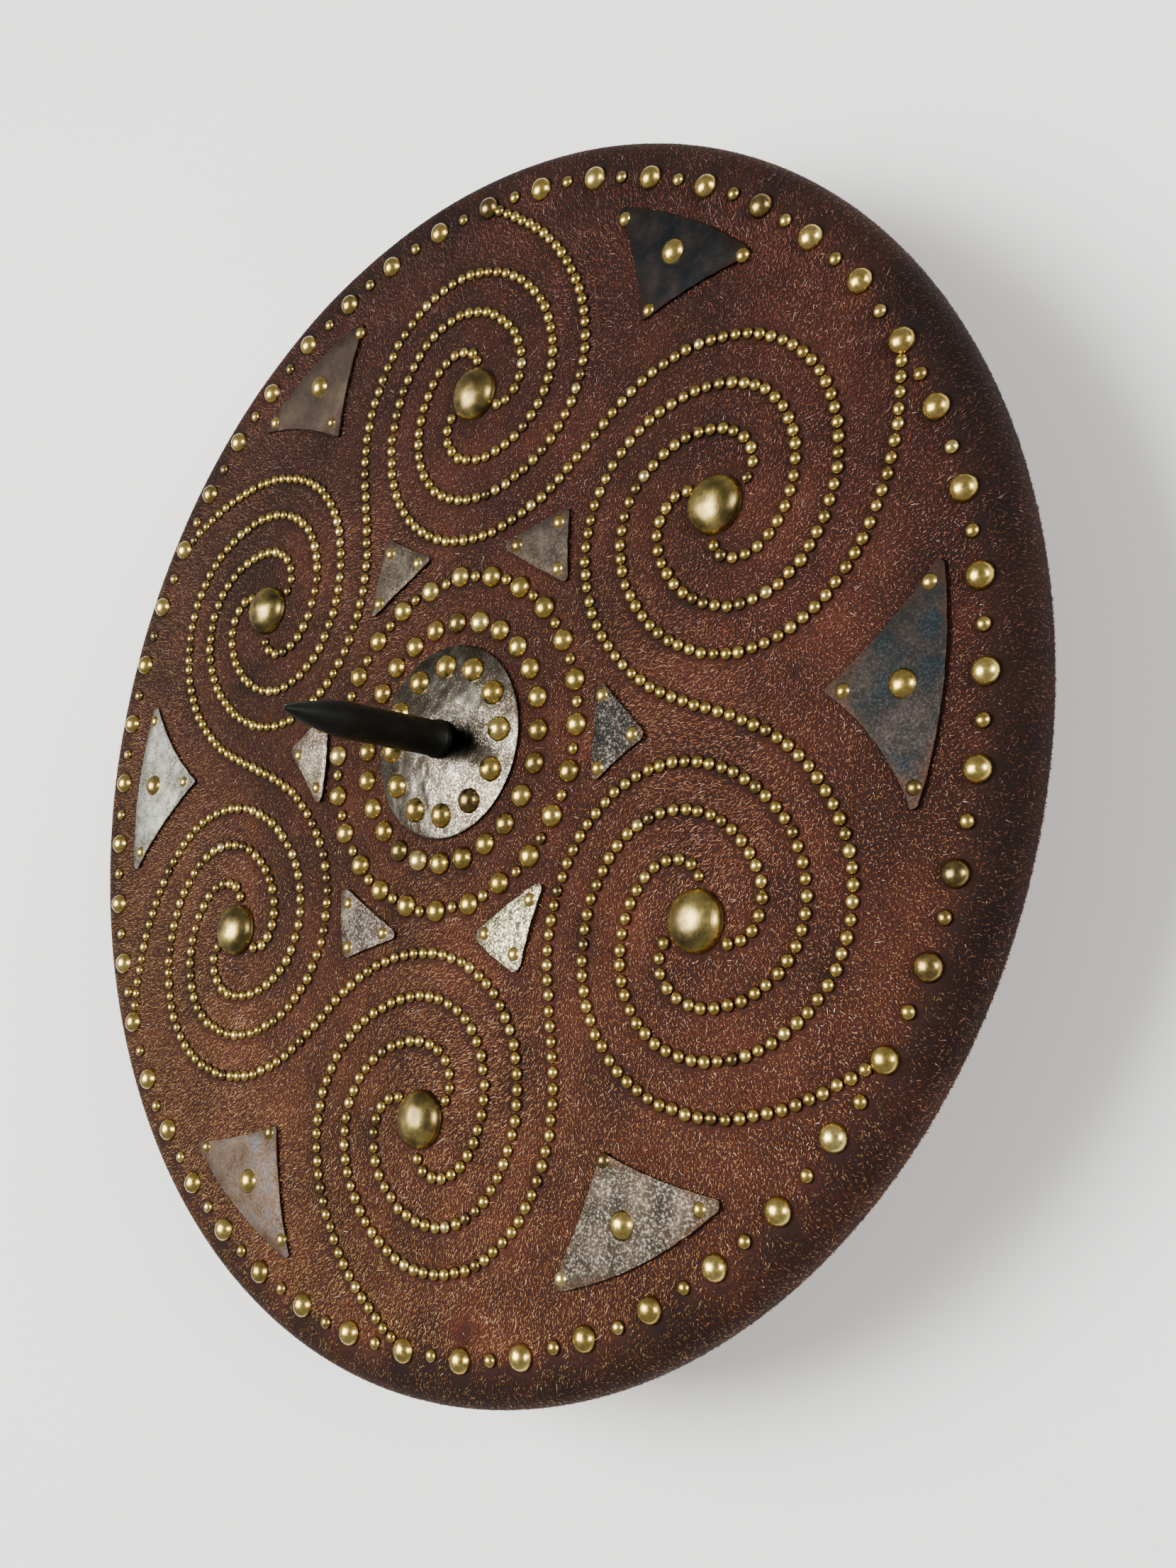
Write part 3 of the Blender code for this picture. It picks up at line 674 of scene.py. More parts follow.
def scatter(name, pattern, places, tones, cells=False):
    """One piece from many copies of a pattern, each set by its own 4x4 place, with its own tone.
    With cells, each copy also has its own square of a UV map."""
    mesh = pattern.data
    corners = corners_of(pattern)
    loops = np.empty(len(mesh.loops), np.int32)
    mesh.loops.foreach_get("vertex_index", loops)
    starts = np.empty(len(mesh.polygons), np.int32)
    mesh.polygons.foreach_get("loop_start", starts)
    count = len(places)
    places = np.asarray(places)
    points = np.einsum("nij,vj->nvi", places[:, :3, :3], corners) + places[:, None, :3, 3]
    steps = np.arange(count, dtype=np.int32)[:, None]
    made = bpy.data.meshes.new(name)
    made.vertices.add(count * len(corners))
    made.vertices.foreach_set("co", points.astype(np.float32).ravel())
    made.loops.add(count * len(loops))
    made.loops.foreach_set("vertex_index", (loops[None] + steps * len(corners)).ravel())
    made.polygons.add(count * len(starts))
    made.polygons.foreach_set("loop_start", (starts[None] + steps * len(loops)).ravel())
    made.update(calc_edges=True)
    piece = bpy.data.objects.new(name, made)
    mark(piece, "tone", np.repeat(tones, len(corners)))
    if cells:
        side = math.ceil(math.sqrt(count))
        loop = np.arange(len(loops))
        within = np.stack([(loop % 3 == 1) * 0.5 + (loop // 6) * 0.45,
                           (loop % 3 == 2) * 0.5 + (loop // 3 % 2) * 0.45], axis=1)
        base = np.stack([steps[:, 0] % side, steps[:, 0] // side], axis=1)
        map_at = (base[:, None] + 0.02 + within[None]) / side
        layer = made.uv_layers.new(name="OFBake")
        layer.uv.foreach_set("vector", map_at.astype(np.float32).ravel())
    bpy.context.scene.collection.objects.link(piece)
    return piece


def set_down(point, up, width, height, spin=0.0):
    """The place of a copy of a unit pattern: its foot at a point, its top along up."""
    tilt = UP.rotation_difference(up).to_matrix().to_4x4()
    turn = Matrix.Rotation(math.radians(spin), 4, "Z")
    size = Matrix.Diagonal((width, width, height, 1))
    return np.array(Matrix.Translation(point) @ tilt @ turn @ size)


# Where the nails stand

def boss_place(index):
    """Centre of a spiral in the plane of the face, and the angle it stands at."""
    angle = 90.0 - SECTOR * index
    return polar(BOSS_CIRCLE, angle), angle


def arm_radius(turned_by):
    """Distance of an arm from its boss's centre, after it has turned by an angle."""
    start = BOSS / 2 + ARM_BASE_STUD / 2 + ARM_START_GAP
    first = start + ARM_FIRST_TURN_GAP - ARM_START_GAP
    beside = BOSS_CIRCLE * math.sin(math.radians(SECTOR / 2)) - LINK_GAP
    below = BOSS_CIRCLE - RING_EDGE - RING_CLEARANCE
    last = min(beside, below)
    steady = first + (last - first) * turned_by / ARM_TURN
    run_in = (first - start) * math.exp(-turned_by / ARM_RUN_IN)
    grown = min(turned_by / ARM_SWAY_GROWS_OVER, 1.0)
    sway = ARM_SWAY * math.sin(math.radians(ARMS * turned_by)) * grown
    return steady - run_in + sway


def arm_points(index, start_angle, turn):
    """Closely set points of one arm, from beside the boss outwards."""
    centre, angle = boss_place(index)
    steps = round(turn / 2)
    turns = [turn * i / steps for i in range(steps + 1)]
    return [centre + polar(arm_radius(now), angle - 90 + start_angle + now) for now in turns]


def run_on(points, end, arriving):
    """Carry a row on smoothly to an end, which it reaches along the direction arriving."""
    reach = (end - points[-1]).length / 3
    leaving = (points[-1] - points[-2]).normalized()
    return bezier(points[-1], points[-1] + leaving * reach, end - arriving * reach, end, 24)[1:]


def link_row_points(index):
    """The row from a spiral's second arm into the third arm of the next spiral."""
    out = arm_points(index, 90.0 - 360.0 / ARMS, ARM_TURN)
    back = list(reversed(arm_points(index + 1, 90.0 + 360.0 / ARMS, ARM_TURN)))
    link = run_on(out, back[0], (back[1] - back[0]).normalized())
    return out + link[:-1] + back


def rim_row_points(index):
    """The row from a spiral's first arm to the rim nail outside its boss."""
    out = arm_points(index, 90.0, RIM_ARM_TURN)
    angle = boss_place(index)[1]
    arriving = polar(1.0, angle + 90 - RIM_ROW_ARRIVAL)
    end = polar(RIM_STUD_RADIUS, angle) - arriving * ((BIG_STUD + ARM_BASE_STUD) / 2 + ROW_END_GAP)
    return out + run_on(out, end, arriving)


def evenly(points, pitch=None, count=None):
    """Evenly spaced points of a line, so many or about a pitch apart, and the way along at each."""
    line = np.array([point[:] for point in points])
    steps = np.linalg.norm(np.diff(line, axis=0), axis=1)
    at = np.concatenate([[0.0], np.cumsum(steps)])
    wanted = np.linspace(0.0, at[-1], count or round(at[-1] / pitch) + 1)
    spots = np.stack([np.interp(wanted, at, line[:, axis]) for axis in range(3)], axis=1)
    return spots, unit(np.gradient(spots, axis=0))


def nail_row(points):
    """Hand-set nails along a row: (x, y, width) for each, a little off the line and in size."""
    spots, ahead = evenly(points, pitch=ROW_PITCH)
    across = np.stack([-ahead[:, 1], ahead[:, 0], ahead[:, 2]], axis=1)
    count = len(spots)
    drift = np.convolve(rng.normal(0, 1, count + 8), np.ones(9) / 9, mode="valid") * 1.5
    off = drift[:, None] * ROW_JITTER * 1.6 + rng.normal(0, ROW_JITTER * 0.45, (count, 1))
    along = rng.normal(0, ROW_JITTER * 0.55, (count, 1))
    spots = spots + across * off + ahead * along
    widths = ROW_STUD * np.clip(rng.normal(1.0, 0.045, count), 0.86, 1.07)
    return np.stack([spots[:, 0], spots[:, 1], widths], axis=1)


def nail_ring(radius, count, width, turn=0.0, loose=0.35 * MM):
    """Nails round a circle about the middle, each a little out of place."""
    nails = []
    for i in range(count):
        place = polar(radius, 90 + turn + 360 * i / count)
        nails.append((place.x + rng.normal(0, loose), place.y + rng.normal(0, loose),
                      width * rng.uniform(0.97, 1.02)))
    return np.array(nails)


link_rows = [nail_row(link_row_points(i)) for i in range(SPIRALS)]
rim_rows = [nail_row(rim_row_points(i)) for i in range(SPIRALS)]
rim_nails = nail_ring(RIM_STUD_RADIUS, RIM_STUDS, BIG_STUD)
rim_small_nails = nail_ring(RIM_STUD_RADIUS, RIM_STUDS, RIM_SMALL_STUD, turn=180 / RIM_STUDS)
outer_nails = nail_ring(OUTER_RING_RADIUS, RING_STUDS, RING_STUD, loose=0.25 * MM)
outer_small_nails = nail_ring(OUTER_RING_RADIUS, RING_STUDS, RING_SMALL_STUD, turn=180 / RING_STUDS)
inner_nails = nail_ring(INNER_RING_RADIUS, RING_STUDS, RING_STUD, loose=0.25 * MM)
boss_spots = np.array([(*boss_place(i)[0][:2], BOSS) for i in range(SPIRALS)])
on_hide = np.concatenate([*link_rows, *rim_rows, rim_nails, rim_small_nails, outer_nails,
                          outer_small_nails, inner_nails, boss_spots])


def on_spoke(index, places):
    """Points beside the spoke between two bosses, from millimetres across and out."""
    angle = boss_place(index)[1] - SECTOR / 2
    return [in_sector(angle, across * MM, out * MM) for across, out in places]


def sharp_corners(ends, tips):
    """Corners of the straight triangle whose rounded tips end where they should."""
    corners = []
    for i in range(3):
        ways = [unit(other - ends[i]) for other in (ends[i - 1], ends[(i + 1) % 3])]
        axis = unit(ways[0] + ways[1])
        corners.append(ends[i] - axis * tips[i] * (1 / math.sin(math.acos(ways[0] @ axis)) - 1))
    return corners


def rounded_tips(flat, corners, tips):
    """Draw the straight-sided tips of a triangle in to round ones."""
    moved = flat.copy()
    for i in range(3):
        tip, before, after = corners[i], corners[i - 1], corners[(i + 1) % 3]
        ways = [unit(other - tip) for other in (before, after)]
        axis = unit(ways[0] + ways[1])
        half = math.acos(ways[0] @ axis)
        centre = tips[i] / math.sin(half)
        tangent = centre * math.cos(half) ** 2
        end = centre - tips[i]
        side = np.array([-axis[1], axis[0]])
        depth = (flat - tip) @ axis
        lateral = (flat - tip) @ side
        near = depth < tangent
        share = np.clip(depth[near] / tangent, 0, 1)
        drawn = end + (tangent - end) * share ** 2
        half_width = np.sqrt(np.clip(tips[i] ** 2 - (centre - drawn) ** 2, 0, None))
        straight = np.maximum(depth[near] * math.tan(half), 1e-9)
        moved[near] = (tip + axis * drawn[:, None]
                       + side * (lateral[near] * half_width / straight)[:, None])
    return moved


def cut_plate(flat, corners, bows, tips, seed):
    """Take points of a straight triangle to a plate's own cut: round tips, bowed and uneven sides."""
    moved = rounded_tips(flat, corners, tips)
    middle = sum(corners) / 3
    basis = np.stack([corners[1] - corners[0], corners[2] - corners[0]], axis=1)
    shares = (flat - corners[0]) @ np.linalg.inv(basis).T
    weights = np.stack([1 - shares.sum(axis=1), shares[:, 0], shares[:, 1]], axis=1)
    for i in range(3):
        start, end = corners[i], corners[(i + 1) % 3]
        out = unit(np.array([(end - start)[1], (start - end)[0]]))
        if out @ (start - middle) < 0:
            out = -out
        first, second, third = weights[:, i], weights[:, (i + 1) % 3], weights[:, (i + 2) % 3]
        bow = bows[i] * MM * 4 * first * second * (1 - third)
        cut = PLATE_CUT * ripple(flat[:, 0], flat[:, 1], 7 * MM, seed + i)
        cut = cut * np.clip(1 - third, 0, 1) ** 6
        moved = moved + out * (bow + cut)[:, None]
    return moved, weights


def plate_shapes():
    """Every plate: its name, its corners, bows, tips and seed, and its outline as a polygon."""
    shapes = []
    for i in range(SPIRALS):
        for kind, (plates, tips) in PLATES.items():
            ends, _, bows = plates[i]
            corners = sharp_corners([np.array(end[:2]) for end in on_spoke(i, ends)], tips)
            steps = np.linspace(0, 1, 40, endpoint=False)[:, None]
            sides = np.concatenate([corners[k] * (1 - steps) + corners[(k + 1) % 3] * steps
                                    for k in range(3)])
            seed = 100 + 20 * i + (300 if kind == "inner" else 0)
            outline = cut_plate(sides, corners, bows, tips, seed)[0]
            shapes.append((f"{kind}_plate_{i + 1}", corners, bows, tips, seed, outline))
    return shapes


def outline_gap(x, y, outline):
    """Distance from each point to a closed outline, below 0 inside it; 1 where it is far off."""
    gap = np.ones(len(x))
    low, high = outline.min(axis=0) - 6 * MM, outline.max(axis=0) + 6 * MM
    near = np.nonzero((x > low[0]) & (x < high[0]) & (y > low[1]) & (y < high[1]))[0]
    spots = np.stack([x[near], y[near]], axis=1)[:, None]
    starts, ends = outline[None], np.roll(outline, -1, axis=0)[None]
    along = ends - starts
    share = np.clip(((spots - starts) * along).sum(axis=2) / (along ** 2).sum(axis=2), 0, 1)
    reach = np.linalg.norm(spots - starts - along * share[..., None], axis=2).min(axis=1)
    over = (starts[..., 1] > spots[..., 1]) != (ends[..., 1] > spots[..., 1])
    rise = np.where(along[..., 1] == 0, 1.0, along[..., 1])
    crossing = starts[..., 0] + (spots[..., 1] - starts[..., 1]) * along[..., 0] / rise
    inside = (over & (spots[..., 0] < crossing)).sum(axis=1) % 2 == 1
    gap[near] = np.where(inside, -reach, reach)
    return gap


PLATE_SHAPES = plate_shapes()


def nearest_edge(x, y, circles):
    """Distance from each point to the edge of the nearest circle, below 0 inside it."""
    best = np.full(len(x), 1.0)
    for start in range(0, len(x), 20000):
        part = slice(start, start + 20000)
        gap = np.hypot(x[part, None] - circles[None, :, 0], y[part, None] - circles[None, :, 1])
        best[part] = (gap - circles[None, :, 2] / 2).min(axis=1)
    return best


def plates_gap(x, y):
    """Distance from each point to the edge of the nearest steel plate, below 0 on it."""
    gaps = [outline_gap(x, y, shape[5]) for shape in PLATE_SHAPES]
    return np.minimum(np.min(gaps, axis=0), np.hypot(x, y) - CENTRE_PLATE / 2)


def hide_relief(x, y, edge_gap):
    """How far the hide stands above or below the flat face: it swells between nails, and each
    nail draws it down."""
    swell = HIDE_SWELL * ripple(x, y, 70 * MM, 3) + HIDE_FINE_SWELL * ripple(x, y, 17 * MM, 4)
    pulled = PUCKER * np.exp(-(np.clip(edge_gap, 0, None) / PUCKER_REACH) ** 1.5)
    return swell - pulled


# Pieces

def full_edge(points):
    """Points moved out near the rim, where the hide is doubled and fuller, most at the top."""
    reach = np.hypot(points[:, 0], points[:, 1])
    share = np.clip((reach - RADIUS + EDGE_FULL_OVER) / EDGE_FULL_OVER, 0, 1)
    turn = np.arctan2(points[:, 1], points[:, 0])
    out = EDGE_FULLNESS + EDGE_SWAY * np.cos(2 * (turn - math.radians(100)))
    points[:, :2] *= (1 + out * share * (2 - share) / np.maximum(reach, MM))[:, None]
    return points


def edge_profile():
    """Section of the hide round the board's edge, from the flat face to the flat back."""
    steps_face, steps_back = 9, 4
    section = []
    for i in range(1, steps_face + 1):
        lean = math.radians(90 - 90 * i / steps_face)
        section.append((RADIUS - FACE_EDGE_RADIUS * (1 - math.cos(lean)),
                        FACE_HEIGHT - FACE_EDGE_RADIUS * (1 - math.sin(lean))))
    for i in range(steps_back + 1):
        lean = math.radians(-90 * i / steps_back)
        section.append((RADIUS - BACK_EDGE_RADIUS * (1 - math.cos(lean)),
                        BACK_HEIGHT + HIDE_STEP + BACK_EDGE_RADIUS * (1 + math.sin(lean))))
    section.append((RADIUS - TURNED_OVER, BACK_HEIGHT + HIDE_STEP))
    return section


def make_hide_cover(material):
    """The hide itself: stretched over the board, turned round its edge and laid flat behind."""
    flat = RADIUS - FACE_EDGE_RADIUS
    cover = disc("hide_cover", flat, 160, FACE_HEIGHT)
    with editing():
        select_open_edge()
        last = (flat, FACE_HEIGHT)
        for radius, height in edge_profile():
            carry_on(height - last[1], radius / last[0], height)
            last = (radius, height)
        close_off()
    corners = corners_of(cover)
    x, y = corners[:, 0], corners[:, 1]
    gap = nearest_edge(x, y, on_hide)
    share = np.clip((RADIUS - np.hypot(x, y)) / FACE_EDGE_RADIUS, 0, 1)
    on_top = corners[:, 2] > FACE_HEIGHT - FACE_EDGE_RADIUS
    corners[:, 2] += np.where(on_top, hide_relief(x, y, gap) * share, 0.0)
    put_corners(cover, full_edge(corners))
    keep(cover, material, 60, ["hide_covered_board"])


def surface_rings():
    """Rings over the face and round its edge: radius, height, and the slope of the surface."""
    flat = RADIUS - FACE_EDGE_RADIUS
    rings = [(r, FACE_HEIGHT, 0.0, 1.0) for r in np.arange(HAIR_PITCH / 2, flat, HAIR_PITCH)]
    arc = FACE_EDGE_RADIUS * math.pi / 2
    for s in np.arange(HAIR_PITCH / 2, arc, HAIR_PITCH):
        lean = math.pi / 2 - s / FACE_EDGE_RADIUS
        rings.append((flat + FACE_EDGE_RADIUS * math.cos(lean),
                      FACE_HEIGHT - FACE_EDGE_RADIUS * (1 - math.sin(lean)),
                      math.cos(lean), math.sin(lean)))
    side_top = FACE_HEIGHT - FACE_EDGE_RADIUS
    side_low = BACK_HEIGHT + BACK_EDGE_RADIUS
    for z in np.arange(side_top - HAIR_PITCH / 2, side_low, -HAIR_PITCH):
        rings.append((RADIUS, z, 1.0, 0.0))
    for s in np.arange(HAIR_PITCH, BACK_EDGE_RADIUS * math.pi / 2, HAIR_PITCH * 1.5):
        lean = -s / BACK_EDGE_RADIUS
        rings.append((RADIUS - BACK_EDGE_RADIUS * (1 - math.cos(lean)),
                      side_low + BACK_EDGE_RADIUS * math.sin(lean), math.cos(lean), math.sin(lean)))
    return rings


def hair_roots():
    """Root points of the nap and the surface's normal at each, spread evenly but not in lines."""
    points, normals = [], []
    for radius, height, out, upward in surface_rings():
        count = max(3, round(2 * math.pi * radius / HAIR_PITCH))
        turn = (np.arange(count) + rng.uniform()) / count * 2 * math.pi
        turn = turn + rng.normal(0, 0.30, count) * HAIR_PITCH / radius
        slide = rng.normal(0, 0.30, count) * HAIR_PITCH
        r = radius + slide * upward
        z = height - slide * out
        points.append(np.stack([r * np.cos(turn), r * np.sin(turn), z], axis=1))
        normals.append(np.stack([out * np.cos(turn), out * np.sin(turn), np.full(count, upward)],
                                axis=1))
    return np.concatenate(points), np.concatenate(normals)


def lie_of_hair(points, normals):
    """The way the nap lies at each root: outwards near the rim, and drifting in whorls inside."""
    x, y = points[:, 0], points[:, 1]
    reach = np.hypot(x, y)
    outward = unit(np.stack([x, y, np.zeros(len(x))], axis=1))
    swirl = math.radians(HAIR_SWIRL) * ripple(x, y, 160 * MM, 11) + math.radians(HAIR_HEADING)
    drift = np.stack([np.cos(swirl), np.sin(swirl), np.zeros(len(x))], axis=1)
    share = np.clip((reach - LIES_OUTWARD_FROM) / LIES_OUTWARD_OVER, 0, 1)[:, None]
    lie = drift * (1 - share) + outward * share + rng.normal(0, HAIR_WANDERS, (len(x), 3))
    lie -= normals * (lie * normals).sum(axis=1)[:, None]
    return unit(lie)


def near_spot(x, y, spot):
    """How strongly a blemish, given as its place and radius, marks each point: 1 in its middle."""
    away = np.hypot(x - spot[0], y - spot[1]) / spot[2]
    ragged = away + 0.25 * ripple(x, y, 5 * MM, 61)
    return np.exp(-np.clip(ragged, 0, None) ** 3)


def hair_places(points, normals, lie, lengths, widths, lifts):
    """The 4x4 place of each hair, leaning from the surface by its lift."""
    along = lie * np.cos(lifts)[:, None] + normals * np.sin(lifts)[:, None]
    side = np.cross(normals, lie)
    facing = np.cross(along, side)
    places = np.zeros((len(points), 4, 4))
    places[:, :3, 0] = side * -widths[:, None]
    places[:, :3, 1] = facing * -HAIR_THICKNESS * (widths / HAIR_WIDTH)[:, None]
    places[:, :3, 2] = along * lengths[:, None]
    places[:, :3, 3] = points
    places[:, 3, 3] = 1.0
    return places


def make_nap(hair, material):
    """The short nap over the face and edge, in four quarters, clear of nails and plates."""
    points, normals = hair_roots()
    x, y = points[:, 0], points[:, 1]
    gap = nearest_edge(x, y, on_hide)
    beside = plates_gap(x, y)
    kept = (gap > -0.2 * MM) & (beside > -0.1 * MM)
    points, normals, gap, beside = points[kept], normals[kept], gap[kept], beside[kept]
    x, y = points[:, 0], points[:, 1]
    flat_share = np.clip((RADIUS - np.hypot(x, y)) / FACE_EDGE_RADIUS, 0, 1)
    points[:, 2] += hide_relief(x, y, gap) * flat_share * (normals[:, 2] > 0.02)
    points -= normals * (0.18 * MM)
    count = len(points)
    lie = lie_of_hair(points, normals)
    near = np.clip(gap / (2.0 * MM), 0, 1)
    lengths = HAIR_LENGTH * rng.uniform(*HAIR_LENGTHS, count) * (0.7 + 0.3 * near)
    widths = HAIR_WIDTH * rng.uniform(*HAIR_WIDTHS, count)
    lifts = np.radians(rng.uniform(*HAIR_LIFTS, count)) * (0.5 + 0.5 * near)
    at_plates = np.radians(rng.uniform(*HAIR_LIFTS_AT_PLATES, count))
    lifts = np.where(beside < 1.5 * MM, at_plates, lifts)
    lifts *= np.clip(flat_share, 0.35, 1.0)
    places = hair_places(full_edge(points), normals, lie, lengths, widths, lifts)
    tones = rng.normal(*HAIR_TONE, count)
    tones = np.clip(tones + 0.06 * ripple(x, y, 9 * MM, 21), 0.02, 0.95)
    # Painted shade: hairs darker close round each nail and boss.
    tones *= 0.70 + 0.30 * near
    tones *= 1 - 0.95 * near_spot(x, y, SCORCH)
    tones += 0.35 * near_spot(x, y, RUBBED_SPOT)
    quarter = (x > 0).astype(int) * 2 + (y > 0).astype(int)
    for q in range(4):
        part = quarter == q
        nap = scatter(f"hide_nap_{q + 1}", hair, places[part], tones[part], cells=True)
        keep(nap, material, None, ["hide_covered_board"])


def make_stray_hairs(hair, material):
    """Longer pale hairs that have worked loose, more of them near the rim."""
    radius = (RADIUS - 4 * MM) * np.sqrt(rng.uniform(0.02, 1.0, STRAY_HAIRS) ** 0.7)
    turn = rng.uniform(0, 2 * math.pi, STRAY_HAIRS)
    x, y = radius * np.cos(turn), radius * np.sin(turn)
    gap = nearest_edge(x, y, on_hide)
    clear = (gap > 0.8 * MM) & (plates_gap(x, y) > 2 * MM)
    x, y, gap = x[clear], y[clear], gap[clear]
    count = len(x)
    flat = RADIUS - FACE_EDGE_RADIUS
    over = np.clip(np.hypot(x, y) - flat, 0, None)
    drop = FACE_EDGE_RADIUS - np.sqrt(FACE_EDGE_RADIUS ** 2 - over ** 2)
    points = np.stack([x, y, FACE_HEIGHT - drop + hide_relief(x, y, gap) + 0.25 * MM], axis=1)
    tip = over / FACE_EDGE_RADIUS
    outward = unit(np.stack([x, y], axis=1))
    normals = np.stack([outward[:, 0] * tip, outward[:, 1] * tip, np.sqrt(1 - tip ** 2)], axis=1)
    lie = lie_of_hair(points, normals)
    lengths = rng.uniform(*STRAY_LENGTHS, count) * MM
    widths = rng.uniform(*STRAY_WIDTHS, count) * MM
    lifts = np.radians(rng.uniform(*STRAY_LIFTS, count))
    places = hair_places(full_edge(points), normals, lie, lengths, widths, lifts)
    tones = rng.uniform(*STRAY_TONES, count)
    strays = scatter("stray_hairs", hair, places, tones, cells=True)
    keep(strays, material, None, ["hide_covered_board"])


def nail_tone(count):
    """A tone for each nail: most alike, some dull or brown, a few pale."""
    tone = rng.normal(0.5, 0.08, count)
    odd = rng.uniform(size=count)
    tone[odd < 0.07] -= 0.30
    tone[odd > 0.95] += 0.28
    return np.clip(tone, 0.05, 1.0)


def make_nails(name, pattern, nails, material, node, foot=FACE_HEIGHT):
    """Nail heads of one row or ring as one piece, each tipped a little its own way."""
    places = []
    for x, y, width in nails:
        up = Vector((rng.normal(0, 0.06), rng.normal(0, 0.06), 1)).normalized()
        height = width * STUD_RISE * rng.uniform(0.94, 1.05)
        places.append(set_down(Vector((x, y, foot)), up, width, height, rng.uniform(0, 360)))
    piece = scatter(name, pattern, places, nail_tone(len(nails)))
    keep(piece, material, 60, [node])


def make_hide_nails(small, large, brass):
    """Every row and ring of nails that stands on the hide."""
    for i in range(SPIRALS):
        for kind, rows in (("link", link_rows), ("rim", rim_rows)):
            node = f"{kind}_row_{i + 1}"
            make_nails(f"{node}_nails", small, rows[i], brass, node)
    for name, pattern, nails in (("rim_nails", large, rim_nails),
                                 ("rim_small_nails", small, rim_small_nails),
                                 ("outer_ring_nails", large, outer_nails),
                                 ("outer_ring_small_nails", small, outer_small_nails),
                                 ("inner_ring_nails", large, inner_nails)):
        make_nails(name, pattern, nails, brass, "hide_covered_board")


def make_bosses(material):
    """The six brass domes, each beaten a little out of round."""
    pattern = dome("boss_pattern", 40, 24, skirt=0.06, lip=0.01, flange=1.008)
    for i in range(SPIRALS):
        foot = boss_place(i)[0] + Vector((0, 0, ON_FACE))
        place = set_down(foot, UP, BOSS, BOSS_RISE * 2, rng.uniform(0, 360))
        boss = scatter(f"boss_{i + 1}_dome", pattern, [place], [0.5])
        corners = corners_of(boss)
        rise = np.clip((corners[:, 2] - ON_FACE) / BOSS_RISE, 0, 1)
        dents = 1 + ripple(corners[:, 0], corners[:, 1], 9 * MM, 60 + i)
        corners[:, 2] -= BOSS_DENTS * rise * dents
        put_corners(boss, corners)
        keep(boss, material, 50, [f"boss_{i + 1}"])
    bpy.data.objects.remove(pattern)


def make_sheet(shape, material):
    """A thin steel plate: a triangle cut by hand from sheet, its sides bowed and tips rounded,
    pressed a little unevenly in to the hide."""
    node, corners, bows, tips, seed = shape[:5]
    sheet = start(f"{node}_sheet", bpy.ops.mesh.primitive_circle_add, vertices=3, radius=1.0,
                  fill_type="NGON")
    put_corners(sheet, np.array([(*corner, 0.0) for corner in corners]))
    with editing():
        bpy.ops.mesh.subdivide(number_cuts=35)
    flat = corners_of(sheet)[:, :2]
    moved, weights = cut_plate(flat, corners, bows, tips, seed)
    edge = 1 - np.clip(weights.min(axis=1) * 12, 0, 1)
    at_tips = np.clip(weights.max(axis=1) * 1.6 - 0.7, 0, 1)
    uneven = PLATE_UNEVEN * ripple(flat[:, 0], flat[:, 1], 24 * MM, seed + 7)
    top = FACE_HEIGHT + PLATE_TOP + uneven - PLATE_EDGE_DROP * edge
    put_corners(sheet, np.column_stack([moved, top]))
    mark(sheet, "edge", np.clip(edge * 0.35 + at_tips, 0, 1))
    thicken(sheet, PLATE_SHEET, bevel=0.2 * MM)
    keep(sheet, material, 35, [node])


def make_plates(small, large, brass):
    """The twelve steel plates, each with its own shade of steel, and their nails."""
    on_plate = FACE_HEIGHT + PLATE_TOP - NAIL_BITE
    for shape in PLATE_SHAPES:
        node = shape[0]
        index = int(node[-1]) - 1
        make_sheet(shape, steel_material(f"zinc_washed_steel_{node}", *STEEL_SHADES[node]))
        spots = on_spoke(index, PLATES[node.split("_")[0]][0][index][1])
        at_tips = [(spot.x, spot.y, PLATE_STUD * rng.uniform(0.95, 1.04)) for spot in spots[:3]]
        make_nails(f"{node}_nails", small, at_tips, brass, node, on_plate)
        for spot in spots[3:]:
            middle = [(spot.x, spot.y, PLATE_MIDDLE_STUD)]
            make_nails(f"{node}_middle_nail", large, middle, brass, node, on_plate)


def centre_plate_height(radius):
    """Height of the centre plate's upper side at a distance from its middle."""
    share = radius / (CENTRE_PLATE / 2)
    return ON_FACE + SHEET + CENTRE_PLATE_RISE * (1.0 - share * share)


def painted_shade_on_centre(x, y):
    """How much painted shade the centre plate carries: a painted shadow and reflection of the
    spike beside its root, and painted shade over its upper half.
    """
    away = ((x - 12 * MM) / (13 * MM)) ** 2 + ((y + 0.5 * MM) / (9 * MM)) ** 2
    # Painted shade: darker over the upper half.
    shaded_upper_half = np.clip(y / (CENTRE_PLATE / 2) - 0.15, 0, 1) * (0.6 + 0.3 * ripple(x, y, 14 * MM, 33))
    return np.maximum(np.exp(-away ** 1.5), np.clip(0.6 * shaded_upper_half, 0, 0.4))


